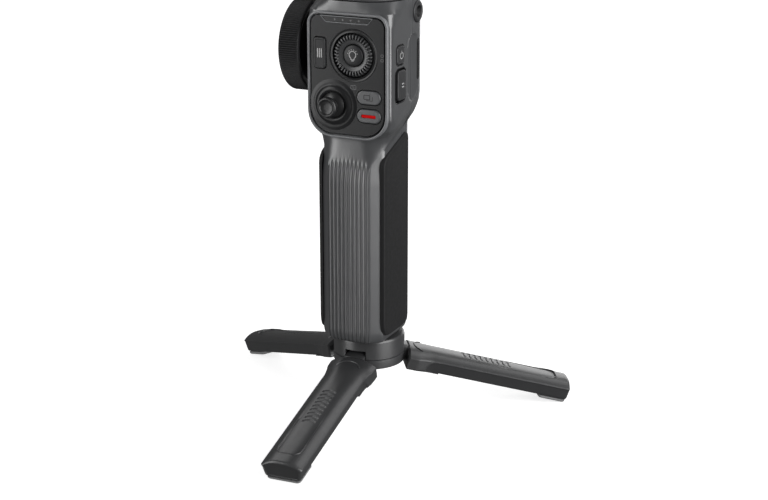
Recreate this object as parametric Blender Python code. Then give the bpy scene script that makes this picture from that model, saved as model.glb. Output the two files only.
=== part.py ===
"""Handheld three-axis phone stabiliser standing on a folding mini tripod.

Metres, +Z up, the control panel faces -Y. The origin is the centre of the flat underside of the tripod hub.
Lengths in the tables below are in millimetres and are scaled by MM when a mesh is written.
"""

import math

import bmesh
import bpy
from mathutils import Matrix, Vector

MM = 0.001
GAP = 0.3

# tripod
HUB_R = 19.7
HUB_SEAM = 5.35
HUB_TOP = 16.5
LEG_ANGLES = {"front": -87.8, "right": 32.2, "left": 152.2}
LEG_PIVOT_R = 14.0
LEG_SLOPE = 14.8
LEG_LENGTH = 102.0
LEG_HALF = 11.7
LEG_BASE = -6.8
LEG_SHOULDER = 0.3
LEG_CREST = 4.2
PIN_R = 1.5

# grip and head outlines: half width, front, back
GRIP_BOTTOM = 16.8
HEAD_TOP = 203.0
SEAM_Y = 2.5
WALL = 2.0
PANEL_X = 21.2
PANEL_LOW, PANEL_HIGH = 133.0, 195.4
PANEL_FRONT = -25.1
FRAME_FRONT = -25.8

# controls on the panel: (x, z)
DIAL = (3.4, 175.4)
STICK = (-8.2, 148.6)
STICK_PIVOT_Y = -18.0
MENU = (-15.8, 175.5)
MODE = (12.4, 154.0)
RECORD = (12.4, 144.2)

# handwheel on the left side
WHEEL_Y, WHEEL_Z = -2.0, 175.0
WHEEL_R = 25.0

# upper axes
PAN_Y = -3.0
AXIS_Z = 276.0
TILT_Y = 8.0

parts = None
cutters = None


# ---------------------------------------------------------------- scene helpers
def clear_scene():
    for obj in list(bpy.data.objects):
        bpy.data.objects.remove(obj, do_unlink=True)


def new_collection(name, hidden=False):
    made = bpy.data.collections.new(name)
    bpy.context.scene.collection.children.link(made)
    made.hide_render = hidden
    return made


def paint(name, colour, rough, metal=0.0):
    mat = bpy.data.materials.new(name)
    mat.use_nodes = True
    shader = mat.node_tree.nodes["Principled BSDF"]
    shader.inputs["Base Color"].default_value = (*colour, 1.0)
    shader.inputs["Roughness"].default_value = rough
    shader.inputs["Metallic"].default_value = metal
    mat.diffuse_color = (*colour, 1.0)
    return mat


GREY = ((0.14, 0.145, 0.15), 0.42, 0.0)
DARK = ((0.035, 0.036, 0.038), 0.6, 0.0)
BLACK = ((0.012, 0.012, 0.013), 0.75, 0.0)
STEEL = ((0.45, 0.46, 0.47), 0.3, 1.0)
ALLOY = ((0.20, 0.20, 0.21), 0.35, 1.0)
BOARD = ((0.02, 0.12, 0.05), 0.5, 0.0)
RED = ((0.65, 0.01, 0.01), 0.45, 0.0)
PALE = ((0.24, 0.245, 0.25), 0.5, 0.0)
CELL = ((0.05, 0.16, 0.30), 0.4, 0.0)


def add(name, bm, look, pivot=(0, 0, 0), sharp=35):
    """Write a body given in millimetres as an object whose origin is its pivot."""
    bmesh.ops.remove_doubles(bm, verts=bm.verts, dist=1e-5)
    bmesh.ops.recalc_face_normals(bm, faces=bm.faces)
    origin = Vector(pivot)
    for vert in bm.verts:
        vert.co = (vert.co - origin) * MM
    mesh = bpy.data.meshes.new(name)
    bm.to_mesh(mesh)
    bm.free()
    for face in mesh.polygons:
        face.use_smooth = True
    mesh.set_sharp_from_angle(angle=math.radians(sharp))
    obj = bpy.data.objects.new(name, mesh)
    obj.location = origin * MM
    mesh.materials.append(paint(name + "_finish", *look))
    parts.objects.link(obj)
    return obj


def helper(name, bm):
    """A cutter or a body to be joined: never shown in a render."""
    bmesh.ops.remove_doubles(bm, verts=bm.verts, dist=1e-5)
    bmesh.ops.recalc_face_normals(bm, faces=bm.faces)
    for vert in bm.verts:
        vert.co *= MM
    mesh = bpy.data.meshes.new(name)
    bm.to_mesh(mesh)
    bm.free()
    obj = bpy.data.objects.new(name, mesh)
    obj.hide_render = True
    obj.display_type = "WIRE"
    cutters.objects.link(obj)
    return obj


def boolean(obj, bm, label, operation="DIFFERENCE"):
    other = helper(obj.name + "_" + label, bm)
    mod = obj.modifiers.new(label, "BOOLEAN")
    mod.operation = operation
    mod.solver = "EXACT"
    mod.object = other


# ---------------------------------------------------------------- solid helpers
def skin(rings, ends=True, flat=False):
    """A closed body through rings that all have the same number of points."""
    bm = bmesh.new()
    rows = [[bm.verts.new(point) for point in ring] for ring in rings]
    count = len(rows[0])
    for low, high in zip(rows, rows[1:]):
        for i in range(count):
            j = (i + 1) % count
            bm.faces.new((low[i], low[j], high[j], high[i]))
    if ends:
        caps = [bm.faces.new(rows[0]), bm.faces.new(list(reversed(rows[-1])))]
        if not flat:
            bmesh.ops.triangulate(bm, faces=caps)
    return bm


def placed(u, v, h, axis):
    """A point (u, v) of a flat outline at height h along the named axis."""
    if axis == "X":
        return (h, u, v)
    if axis == "Y":
        return (u, h, v)
    return (u, v, h)


def prism(points, low, high, axis="Z"):
    rings = [[placed(u, v, h, axis) for u, v in points] for h in (low, high)]
    return skin(rings, flat=True)


def box(x0, x1, y0, y1, z0, z1):
    return prism([(x0, y0), (x1, y0), (x1, y1), (x0, y1)], z0, z1)


def circle(u, v, r, steps=24):
    return [
        (u + r * math.cos(2 * math.pi * i / steps), v + r * math.sin(2 * math.pi * i / steps))
        for i in range(steps)
    ]


def rod(u, v, r, low, high, axis, steps=24):
    return prism(circle(u, v, r, steps), low, high, axis)


def rounded(u, v, half_u, half_v, radii, steps=4):
    """Rounded rectangle; radii are for the corners (+u,+v), (-u,+v), (-u,-v), (+u,-v)."""
    points = []
    for k, (su, sv) in enumerate(((1, 1), (-1, 1), (-1, -1), (1, -1))):
        r = radii[k] if isinstance(radii, (list, tuple)) else radii
        cu, cv = u + su * (half_u - r), v + sv * (half_v - r)
        for i in range(steps + 1):
            turn = math.pi / 2 * (k + i / steps)
            points.append((cu + r * math.cos(turn), cv + r * math.sin(turn)))
    return points


def lathe(profile, centre, axis, steps=24):
    """Turn a closed (radius, height) profile about an axis through the centre."""
    bm = bmesh.new()
    rows = []
    for r, h in profile:
        row = []
        for i in range(steps if r > 1e-6 else 1):
            turn = 2 * math.pi * i / steps
            a, b = r * math.cos(turn), r * math.sin(turn)
            local = {"X": (h, a, b), "Y": (b, h, a), "Z": (a, b, h)}[axis]
            row.append(bm.verts.new([c + d for c, d in zip(centre, local)]))
        rows.append(row)
    for k, low in enumerate(rows):
        high = rows[(k + 1) % len(rows)]
        for i in range(steps):
            j = (i + 1) % steps
            quad = [low[i % len(low)], low[j % len(low)], high[j % len(high)], high[i % len(high)]]
            quad = list(dict.fromkeys(quad))
            if len(quad) > 2:
                bm.faces.new(quad)
    return bm


def between(table, key):
    """Linear interpolation in rows of (key, values...)."""
    for low, high in zip(table, table[1:]):
        if key <= high[0]:
            t = (key - low[0]) / (high[0] - low[0])
            return [a + (b - a) * t for a, b in zip(low[1:], high[1:])]
    return list(table[-1][1:])


# ---------------------------------------------------------------- grip and head
# height, front y, half width, share of the head outline, corner cut, slant of the ring, inset
BODY_RINGS = [
    (16.8, -25.8, 18.1, 0.0, 0.0, 0.0, 6.0),
    (17.8, -25.8, 18.1, 0.0, 0.0, 0.0, 3.6),
    (20.0, -25.8, 18.1, 0.0, 0.0, 0.0, 1.5),
    (24.0, -25.8, 18.1, 0.0, 0.0, 0.0, 0.3),
    (28.0, -25.8, 18.1, 0.0, 0.0, 0.0, 0.0),
    (106.0, -25.8, 18.1, 0.0, 0.0, 0.0, 0.0),
    (114.0, -25.2, 18.1, 0.0, 0.0, 0.3, 0.0),
    (119.0, -24.2, 18.1, 0.1, 0.2, 0.7, 0.0),
    (123.0, -23.4, 18.1, 0.25, 0.5, 1.0, 0.0),
    (126.0, -23.0, 19.7, 0.45, 0.8, 1.0, 0.0),
    (129.0, -22.9, 21.6, 0.65, 1.0, 1.0, 0.0),
    (131.4, -23.1, 22.6, 0.85, 1.0, 1.0, 0.0),
    (132.8, -24.2, 23.1, 1.0, 1.0, 1.0, 0.0),
    (136.0, -24.2, 24.0, 1.0, 0.5, 1.0, 0.0),
    (139.0, -24.2, 24.2, 1.0, 0.25, 0.9, 0.0),
    (142.0, -24.2, 24.4, 1.0, 0.1, 0.8, 0.0),
    (148.0, -24.2, 24.4, 1.0, 0.0, 0.5, 0.0),
    (165.0, -24.2, 24.4, 1.0, 0.0, 0.0, 0.0),
    (203.0, -24.2, 24.4, 1.0, 0.0, 0.0, 0.0),
]
SLANT = 0.35


def half_outline(front, half, share, cut=0.0):
    """Right half of the outline from the front centre to the back centre, as (x, y)."""

    def mix(grip, head):
        return grip + (head - grip) * share

    edge = mix(12.0, 15.0 - 6.0 * cut)
    strip_x = half - mix(0.4, 1.8 + 4.2 * cut)
    strip_y = front + mix(4.2, 2.2 * cut)
    side_y = front + mix(5.8, 2.2 + 6.5 * cut)
    back, r = mix(15.0, 19.0), mix(6.0, 8.0)
    points = [
        (0.0, front),
        (edge * 0.5, front + mix(0.1, 0.0)),
        (edge, front + mix(0.4, 0.0)),
        ((edge + strip_x) / 2, (front + mix(0.4, 0.0) + strip_y) / 2),
        (strip_x, strip_y),
        (half - mix(0.1, 0.5 + 1.3 * cut), strip_y + mix(0.7, 0.65 + 2.0 * cut)),
        (half, side_y),
        (half, -9.0),
        (half, SEAM_Y),
        (half, back - r),
    ]
    for turn in (30, 60, 90):
        t = math.radians(turn)
        points.append((half - r + r * math.cos(t), back - r + r * math.sin(t)))
    points += [((half - r) / 2, back), (0.0, back)]
    return points


def pulled_in(points, depth):
    """Draw the half outline in towards its middle, so that flats move by the depth."""
    half = max(x for x, _ in points)
    front, back = points[0][1], points[-1][1]
    middle, reach = (front + back) / 2, (back - front) / 2
    return [(x * (half - depth) / half, middle + (y - middle) * (reach - depth) / reach)
            for x, y in points]


def slanted(x, y, z, slant):
    return (x, y, z + slant * SLANT * (y + 22.0))


def wrap_ring(row, part):
    """One C-shaped section of the front or of the rear shell."""
    z, front, half, share, cut, slant, inset = row
    full = half_outline(front, half, share, cut)
    outer = pulled_in(full, inset) if inset else full
    inner = pulled_in(full, inset + WALL)
    split = 8
    if part == "front":
        keep = slice(0, split + 1)
        y_end, at = SEAM_Y, split
    else:
        keep = slice(split, len(full))
        y_end, at = SEAM_Y + GAP, 0
    out, ins = outer[keep], inner[keep]
    out[at if part == "rear" else -1] = (out[at if part == "rear" else -1][0], y_end)
    ins[at if part == "rear" else -1] = (ins[at if part == "rear" else -1][0], y_end)
    if part == "front":
        left_out = [(-x, y) for x, y in reversed(out)]
        left_in = [(-x, y) for x, y in ins]
        loop = left_out[:-1] + out + list(reversed(ins))[:-1] + left_in
    else:
        left_out = [(-x, y) for x, y in out]
        left_in = [(-x, y) for x, y in reversed(ins)]
        loop = left_out + list(reversed(out))[1:] + ins + left_in[1:]
    return [slanted(x, y, z, slant) for x, y in loop]


def make_front_shell():
    obj = add("front_shell", skin([wrap_ring(row, "front") for row in BODY_RINGS]), GREY)
    boolean(obj, prism(panel_outline(GAP), -30, -20, "Y"), "panel_opening")
    boolean(obj, rod(WHEEL_Y, WHEEL_Z, 4.6, -30, -20, "X"), "axle_hole")
    boolean(obj, prism(rounded(-12.6, 175.2, 4.8, 5.2, 2.4), 20, 30, "X"), "power_hole")
    boolean(obj, prism(rounded(-12.3, 159.2, 6.4, 9.0, 3.0), 20, 30, "X"), "function_hole")
    return obj


def make_rear_shell():
    obj = add("rear_shell", skin([wrap_ring(row, "rear") for row in BODY_RINGS]), DARK)
    boolean(obj, prism(rounded(0, 147.5, 7.8, 17.0, 2.0), 12, 26, "Y"), "trigger_opening")
    boolean(obj, rod(9.0, 194.8, 6.0, 20, 30, "X"), "socket_hole")
    boolean(obj, prism(rounded(0, 184.0, 4.9, 2.0, 1.9), 12, 26, "Y"), "port_hole")
    return obj


def pad_outline(shrink):
    low, high, near, far = 21.0 + shrink, -shrink, -21.3 + shrink * 1.2, 9.8 - shrink * 0.4

    def top(y):
        return 121.0 + high + 0.33 * (y + 21.0)

    return [
        (near, 28.5),
        (near + 0.9, 25.0),
        (near + 3.2, low + 1.2),
        (near + 7.0, low),
        (far - 5.0, low),
        (far - 1.2, low + 1.2),
        (far, low + 4.5),
        (far, top(far) - 3.0),
        (far - 2.5, top(far - 2.5)),
        (near + 4.0, top(near + 4.0)),
        (near + 1.0, top(near) - 0.8),
        (near, top(near) - 3.5),
    ]


def make_grip_pad(name, side):
    rings = [
        [(side * x, y, z) for y, z in pad_outline(shrink)]
        for x, shrink in ((18.4, 0.0), (19.1, 1.0), (19.6, 2.4))
    ]
    return add(name, skin(rings), BLACK)


def panel_outline(grow):
    middle, half = (PANEL_LOW + PANEL_HIGH) / 2, (PANEL_HIGH - PANEL_LOW) / 2
    radii = (5.0 + grow, 5.0 + grow, 12.0 + grow, 12.0 + grow)
    return rounded(0, middle, PANEL_X + grow, half + grow, radii, 6)


def make_panel_frame():
    rings = []
    for y, out in ((-24.5, 2.0), (-25.3, 2.0), (FRAME_FRONT, 1.5)):
        rings.append([(x, y, z) for x, z in panel_outline(out)])
    for y, out in ((FRAME_FRONT, 0.7), (-24.5, 0.3)):
        rings.append([(x, y, z) for x, z in panel_outline(out)])
    bm = skin(rings + [rings[0]], ends=False)
    return add("panel_frame", bm, PALE)


def window_outline(grow):
    return [
        (-15.2 - grow * 1.6, PANEL_HIGH - 0.4 + grow),
        (-12.4 - grow * 0.4, PANEL_HIGH - 3.4 - grow),
        (11.6 + grow * 0.4, PANEL_HIGH - 3.4 - grow),
        (14.2 + grow * 1.6, PANEL_HIGH - 0.4 + grow),
    ]


def make_control_panel():
    obj = add("control_panel", prism(panel_outline(0), PANEL_FRONT, -23.0, "Y"), DARK)
    boolean(obj, rod(DIAL[0], DIAL[1], 13.5, -27, -21, "Y", 36), "dial_hole")
    boolean(obj, rod(STICK[0], STICK[1], 11.3, -27, -21, "Y", 32), "stick_hole")
    boolean(obj, prism(rounded(*MENU, 3.6, 8.4, 1.8), -27, -21, "Y"), "menu_hole")
    boolean(obj, prism(rounded(*MODE, 7.1, 3.9, 3.8), -27, -21, "Y"), "mode_hole")
    boolean(obj, prism(rounded(*RECORD, 7.1, 3.9, 3.8), -27, -21, "Y"), "record_hole")
    boolean(obj, prism(window_outline(0.3), -26, -24.2, "Y"), "window_recess")
    return obj


def make_status_window():
    return add("status_window", prism(window_outline(0), PANEL_FRONT - 0.15, -24.4, "Y"), BLACK)


def make_dial_bezel():
    profile = [(11.8, -25.5), (12.7, -25.7), (13.2, -25.3), (13.2, -22.8), (11.8, -22.8)]
    return add("dial_bezel", lathe(profile, (DIAL[0], 0, DIAL[1]), "Y", 36), DARK)


def make_dial_wheel():
    profile = [
        (5.9, -25.0), (7.6, -25.9), (10.9, -25.9), (11.5, -25.3), (11.5, -20.7), (5.9, -20.7),
    ]
    return add("dial_wheel", lathe(profile, (DIAL[0], 0, DIAL[1]), "Y", 36), BLACK,
               (DIAL[0], -24, DIAL[1]))


def make_dial_button():
    profile = [(0, -26.1), (3.2, -26.0), (4.9, -25.6), (5.5, -25.0), (5.5, -21.0), (0, -21.0)]
    return add("dial_button", lathe(profile, (DIAL[0], 0, DIAL[1]), "Y", 24), DARK,
               (DIAL[0], -24, DIAL[1]))


def make_joystick_bezel():
    profile = [(6.9, -26.3), (8.2, -26.6), (9.6, -26.2), (11.0, -25.2), (11.0, -23.2), (8.9, -23.2)]
    return add("joystick_bezel", lathe(profile, (STICK[0], 0, STICK[1]), "Y", 32), DARK)


def make_joystick_cup():
    profile = [(0, -9.4), (10.8, -9.4), (10.8, -18.4), (8.3, -18.4), (8.3, -11.0), (0, -11.0)]
    return add("joystick_cup", lathe(profile, (STICK[0], 0, STICK[1]), "Y", 20), ALLOY)


def make_joystick_yoke():
    y = STICK_PIVOT_Y
    profile = [(4.4, y - 1.0), (7.2, y - 1.0), (7.2, y + 1.0), (4.4, y + 1.0)]
    obj = add("joystick_yoke", lathe(profile, (STICK[0], 0, STICK[1]), "Y", 20), STEEL,
              (STICK[0], y, STICK[1]))
    boolean(obj, rod(y, STICK[1], 0.7, STICK[0] - 8.1, STICK[0] - 6.0, "X", 12), "pin_a", "UNION")
    boolean(obj, rod(y, STICK[1], 0.7, STICK[0] + 6.0, STICK[0] + 8.1, "X", 12), "pin_b", "UNION")
    return obj


def make_joystick_stick():
    y = STICK_PIVOT_Y
    inner = [(9.2 * math.sin(math.radians(t)), y - 9.2 * math.cos(math.radians(t)))
             for t in (19, 34, 50, 65)]
    outer = [(10.1 * math.sin(math.radians(t)), y - 10.1 * math.cos(math.radians(t)))
             for t in (65, 50, 34, 20)]
    profile = [(0, y + 3.0), (3.0, y + 3.0)] + inner + outer + [(3.2, y - 12.0), (3.2, y - 13.2),
                                                               (0, y - 13.2)]
    return add("joystick_stick", lathe(profile, (STICK[0], 0, STICK[1]), "Y", 24), BLACK,
               (STICK[0], y, STICK[1]))


def make_joystick_cap():
    y = STICK_PIVOT_Y
    profile = [
        (0, y - 13.5), (3.5, y - 13.5), (3.5, y - 12.3), (4.6, y - 12.3), (5.5, y - 13.4),
        (5.5, y - 15.2), (4.8, y - 16.0), (3.9, y - 15.8), (3.2, y - 15.2), (0, y - 15.1),
    ]
    return add("joystick_cap", lathe(profile, (STICK[0], 0, STICK[1]), "Y", 24), BLACK,
               (STICK[0], y, STICK[1]))


def make_key(name, centre, half, radius, look, front=-26.0):
    outline = rounded(*centre, half[0], half[1], radius)
    crown = rounded(*centre, half[0] - 0.6, half[1] - 0.6, max(radius - 0.5, 0.4))
    rings = [[(x, y, z) for x, z in shape]
             for y, shape in ((-20.9, outline), (front + 0.6, outline), (front, crown))]
    return add(name, skin(rings), look, (centre[0], -24, centre[1]))


def make_record_key():
    obj = make_key("record_button", RECORD, (6.8, 3.5), 3.4, PALE)
    boolean(obj, prism(rounded(*RECORD, 4.6, 1.25, 0.6), -27, -25.5, "Y"), "mark_pocket")
    mark = prism(rounded(*RECORD, 4.3, 0.95, 0.45), -26.05, -25.6, "Y")
    return obj, add("record_mark", mark, RED, (RECORD[0], -24, RECORD[1]))


def make_side_key(name, y, z, half_y, half_z, radius, front):
    outline = rounded(y, z, half_y, half_z, radius)
    crown = rounded(y, z, half_y - 0.6, half_z - 0.6, radius - 0.5)
    rings = [[(x, p, q) for p, q in shape]
             for x, shape in ((20.8, outline), (front - 0.5, outline), (front, crown))]
    return add(name, skin(rings), DARK, (24, y, z))


def make_button_board():
    outline = rounded(0, 164.5, 19.5, 28.0, 6.0)
    obj = add("button_board", prism(outline, -20.2, -19.0, "Y"), BOARD)
    boolean(obj, rod(STICK[0], STICK[1], 11.3, -23, -17, "Y", 32), "stick_clearance")
    return obj


def make_main_board():
    return add("main_board", prism(rounded(0, 181.0, 18.0, 16.0, 2.0), 5.6, 7.2, "Y"), BOARD)


def make_battery_cell():
    profile = [(0, 30), (9.2, 30), (9.2, 97), (3.0, 97), (3.0, 98.5), (0, 98.5)]
    return add("battery_cell", lathe(profile, (0, -5, 0), "Z", 20), CELL)


def make_base_cap():
    obj = add("base_cap", prism(rounded(0, -5.2, 9.0, 10.6, 4.0), 17.0, 24.0, "Z"), DARK)
    boolean(obj, rod(0, 0, 3.5, 10, 30, "Z"), "screw_bore")
    return obj


def make_usb_port():
    rings = [[(x, y, z) for x, z in rounded(0, 184.0, hx, hz, r)]
             for y, hx, hz, r in ((18.9, 4.5, 1.6, 1.5), (18.9, 4.1, 1.2, 1.1),
                                  (13.0, 4.1, 1.2, 1.1), (13.0, 3.0, 0.5, 0.4))]
    back = [[(x, y, z) for x, z in rounded(0, 184.0, hx, hz, r)]
            for y, hx, hz, r in ((12.0, 3.0, 0.5, 0.4), (12.0, 4.5, 1.6, 1.5))]
    bm = skin(rings + back + [rings[0]], ends=False)
    return add("usb_port", bm, STEEL)


# ---------------------------------------------------------------- side fittings
def make_accessory_socket():
    profile = [(3.1, 25.3), (5.0, 25.3), (5.7, 24.7), (5.7, 20.6), (0, 20.6), (0, 21.8), (3.1, 21.8)]
    return add("accessory_socket", lathe(profile, (0, 9.0, 194.8), "X", 24), DARK)


def make_side_insert():
    outline = rounded(8.9, 169.5, 2.0, 11.0, 1.2)
    return add("side_insert", prism(outline, 24.6, 25.2, "X"), BLACK)


def make_handwheel_axle():
    profile = [
        (0, -37.0), (4.0, -37.0), (4.0, -28.0), (15.0, -27.8), (16.5, -27.0), (16.5, -24.8),
        (4.2, -24.8), (4.2, -15.0), (0, -15.0),
    ]
    return add("handwheel_axle", lathe(profile, (0, WHEEL_Y, WHEEL_Z), "X", 24), ALLOY)


def make_handwheel_disc():
    profile = [
        (4.4, -28.4), (12.0, -28.4), (20.0, -31.0), (21.4, -30.0), (21.4, -39.2), (19.5, -38.4),
        (17.0, -38.0), (0, -38.0), (0, -37.3), (4.4, -37.3),
    ]
    return add("handwheel_disc", lathe(profile, (0, WHEEL_Y, WHEEL_Z), "X", 36), DARK,
               (-34, WHEEL_Y, WHEEL_Z))


def make_handwheel_tyre():
    profile = [
        (21.7, -28.6), (24.2, -28.3), (25.0, -29.2), (25.0, -39.2), (24.2, -40.0), (21.7, -39.6),
    ]
    return add("handwheel_tyre", lathe(profile, (0, WHEEL_Y, WHEEL_Z), "X", 36), BLACK,
               (-34, WHEEL_Y, WHEEL_Z))


def make_trigger():
    outline = [
        (12.4, 156.6), (12.6, 161.6), (16.4, 162.2), (19.4, 159.0), (22.6, 152.0), (23.6, 145.0),
        (22.8, 139.0), (20.4, 133.6), (18.0, 133.0), (17.6, 136.0), (19.4, 141.0), (19.4, 148.0),
        (17.0, 154.0),
    ]
    obj = add("trigger", prism(outline, -7.0, 7.0, "X"), DARK, (0, 15.0, 159.0))
    boolean(obj, rod(15.0, 159.0, 1.5, -11, 11, "X", 18), "pin_bore")
    return obj


def make_trigger_pin():
    return add("trigger_pin", rod(15.0, 159.0, 1.2, -10.2, 10.2, "X", 16), STEEL)


def make_trigger_bracket():
    outline = [
        (-10.4, 9.0), (10.4, 9.0), (10.4, 16.7), (7.9, 16.7), (7.9, 11.0), (-7.9, 11.0),
        (-7.9, 16.7), (-10.4, 16.7),
    ]
    obj = add("trigger_bracket", prism(outline, 155.5, 163.0, "Z"), ALLOY)
    boolean(obj, rod(15.0, 159.0, 1.35, -12, 12, "X", 16), "pin_bore")
    return obj


# ---------------------------------------------------------------- tripod
def tripod_frame(angle):
    """Local (along, across, up) of a leg at its pin to the world, in millimetres."""
    turn = Matrix.Rotation(math.radians(angle), 4, "Z")
    move = Matrix.Translation((LEG_PIVOT_R, 0, HUB_SEAM))
    slope = Matrix.Rotation(math.radians(LEG_SLOPE), 4, "Y")
    return turn @ move @ slope


def moved(bm, matrix):
    bmesh.ops.transform(bm, matrix=matrix, verts=bm.verts)
    return bm


def leg_section(u, half, low, shoulder, crest, lean=0.0):
    points = [(half - 1.0, low), (half, low + 1.0), (half, shoulder)]
    for turn in (25, 50, 72):
        t = math.radians(turn)
        points.append((half * math.cos(t), shoulder + (crest - shoulder) * math.sin(t)))
    points.append((0.0, crest))
    mirror = [(-w, v) for w, v in reversed(points[:-1])]
    ring = points + mirror
    return [(u + lean * (crest - v), w, v) for w, v in ring]


def make_leg(side):
    base, sho, top = LEG_BASE, LEG_SHOULDER, LEG_CREST
    rings = [
        leg_section(-3.9, 5.6, -1.8, 0.6, 1.8),
        leg_section(-2.6, 5.6, -3.6, 2.6, 3.4),
        leg_section(0.0, 5.6, -4.3, 3.6, 4.3),
        leg_section(6.5, 5.6, -4.3, 3.6, 4.3),
        leg_section(6.8, 12.8, base, sho - 0.6, top - 0.4, 0.1),
        leg_section(7.8, 13.5, base, sho, top, 0.1),
        leg_section(12.5, 13.4, base, sho, top, 0.1),
        leg_section(16.5, 12.4, base, sho, top),
        leg_section(22.0, LEG_HALF, base, sho, top),
        leg_section(60.0, LEG_HALF, base, sho, top),
        leg_section(96.0, LEG_HALF, base, sho, top),
        leg_section(100.8, LEG_HALF - 0.4, base, sho - 0.1, top - 0.3),
        leg_section(LEG_LENGTH, LEG_HALF - 1.3, base + 0.6, sho - 0.6, top - 1.1),
    ]
    frame = tripod_frame(LEG_ANGLES[side])
    pivot = frame @ Vector((0, 0, 0))
    obj = add("leg_" + side, moved(skin(rings), frame), DARK, pivot)
    boolean(obj, moved(rod(0, 0, PIN_R + 0.2, -9, 9, "Y", 16), frame), "pin_bore")
    return obj


def make_foot_pad(side):
    rings = []
    for v, half, near, far in ((-8.75, 8.6, 87.0, 101.0), (-8.1, 9.3, 86.2, 101.8),
                               (-7.0, 9.6, 85.6, 101.6)):
        shape = rounded((near + far) / 2, 0, (far - near) / 2, half, 2.0, 3)
        rings.append([(u, w, v) for u, w in shape])
    frame = tripod_frame(LEG_ANGLES[side])
    return add("foot_pad_" + side, moved(skin(rings), frame), PALE, frame @ Vector((0, 0, 0)))


def make_leg_pin(side):
    frame = tripod_frame(LEG_ANGLES[side])
    return add("leg_pin_" + side, moved(rod(0, 0, PIN_R, -8.6, 8.6, "Y", 16), frame), STEEL)


def cut_tripod_slots(obj):
    for side, angle in LEG_ANGLES.items():
        turn = Matrix.Rotation(math.radians(angle), 4, "Z")
        boolean(obj, moved(box(8.6, 24.0, -6.1, 6.1, -2.0, 10.8), turn), "slot_" + side)
        frame = tripod_frame(angle)
        channel = rod(0, 0, PIN_R + 0.15, -8.9, 8.9, "Y", 16)
        boolean(obj, moved(channel, frame), "channel_" + side)


def make_hub_upper():
    low = HUB_SEAM + 0.15
    profile = [(0, low), (HUB_R, low), (HUB_R, 15.3), (HUB_R - 1.2, HUB_TOP), (3.4, HUB_TOP),
               (3.4, 9.2), (0, 9.2)]
    obj = add("hub_upper", lathe(profile, (0, 0, 0), "Z", 48), DARK)
    cut_tripod_slots(obj)
    return obj


def make_hub_lower():
    high = HUB_SEAM - 0.15
    profile = [(0, 0), (HUB_R - 1.0, 0), (HUB_R, 1.0), (HUB_R, high), (0, high)]
    obj = add("hub_lower", lathe(profile, (0, 0, 0), "Z", 48), DARK)
    cut_tripod_slots(obj)
    return obj


def make_tripod_screw():
    profile = [(0, 9.6), (3.1, 9.6), (3.1, 26.5), (2.5, 27.2), (0, 27.2)]
    return add("tripod_screw", lathe(profile, (0, 0, 0), "Z", 24), STEEL)


# ---------------------------------------------------------------- upper axes
def make_pan_housing():
    right = half_outline(-24.0, 24.2, 1.0)
    base = [(-x, y) for x, y in reversed(right[1:])] + right[:-1]

    def towards_circle(t, z, r):
        ring = []
        for x, y in base:
            turn = math.atan2(y - PAN_Y, x)
            ring.append((x + (r * math.cos(turn) - x) * t,
                         y + (PAN_Y + r * math.sin(turn) - y) * t, z))
        return ring

    rings = [
        towards_circle(0.0, HEAD_TOP + GAP, 19.8),
        towards_circle(0.06, 206.0, 19.8),
        towards_circle(0.35, 209.4, 19.8),
        towards_circle(0.8, 212.0, 19.8),
        towards_circle(1.0, 213.4, 19.6),
        towards_circle(1.0, 222.0, 19.6),
    ]
    obj = add("pan_housing", skin(rings), GREY)
    boolean(obj, rod(0, PAN_Y, 5.4, 208.0, 224.0, "Z"), "shaft_bore")
    return obj


def make_pan_rotor():
    profile = [(0, 209.0), (5.0, 209.0), (5.0, 222.4), (19.6, 222.4), (19.6, 227.8), (18.6, 229.0),
               (0, 229.0)]
    return add("pan_rotor", lathe(profile, (0, PAN_Y, 0), "Z", 32), DARK, (0, PAN_Y, 226))


def make_pan_arm():
    outline = [
        (-18.0, 229.3), (44.0, 229.3), (54.0, 232.0), (62.0, 238.8), (66.0, 247.5), (67.0, 266.0),
        (56.0, 266.0), (55.0, 251.5), (52.6, 242.8), (48.0, 237.0), (42.0, 233.8), (-16.0, 233.8),
        (-18.0, 232.4),
    ]
    obj = add("pan_arm", prism(outline, -11.0, 11.0, "X"), GREY, (0, PAN_Y, 226))
    boolean(obj, rod(0, AXIS_Z, 17.3, 40, 80, "Y", 48), "motor_seat")
    return obj


def make_roll_housing():
    profile = [(4.8, 51.0), (17.0, 51.0), (17.0, 69.4), (15.6, 71.0), (0, 71.0), (0, 62.5),
               (4.8, 62.5)]
    return add("roll_housing", lathe(profile, (0, 0, AXIS_Z), "Y", 32), GREY, (0, PAN_Y, 226))


def make_roll_rotor():
    profile = [(0, 43.5), (17.0, 43.5), (17.0, 50.6), (4.5, 50.6), (4.5, 61.5), (0, 61.5)]
    return add("roll_rotor", lathe(profile, (0, 0, AXIS_Z), "Y", 32), DARK, (0, 47, AXIS_Z))


def make_roll_arm():
    outline = [
        (14.0, 37.6), (16.0, 39.6), (16.0, 43.2), (-44.0, 43.2), (-50.6, 41.0), (-54.6, 37.0),
        (-56.4, 31.0), (-56.4, -2.0), (-55.0, -4.0), (-50.3, -4.0), (-50.3, 29.0), (-49.0, 34.0),
        (-46.0, 36.8), (-42.0, 37.6),
    ]
    return add("roll_arm", prism(outline, AXIS_Z - 10, AXIS_Z + 10, "Z"), GREY, (0, 47, AXIS_Z))


def make_tilt_housing():
    profile = [(0, -50.0), (11.5, -50.0), (12.5, -49.0), (12.5, -34.0), (4.6, -34.0),
               (4.6, -45.0), (0, -45.0)]
    return add("tilt_housing", lathe(profile, (0, TILT_Y, AXIS_Z), "X", 32), GREY,
               (0, 47, AXIS_Z))


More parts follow.
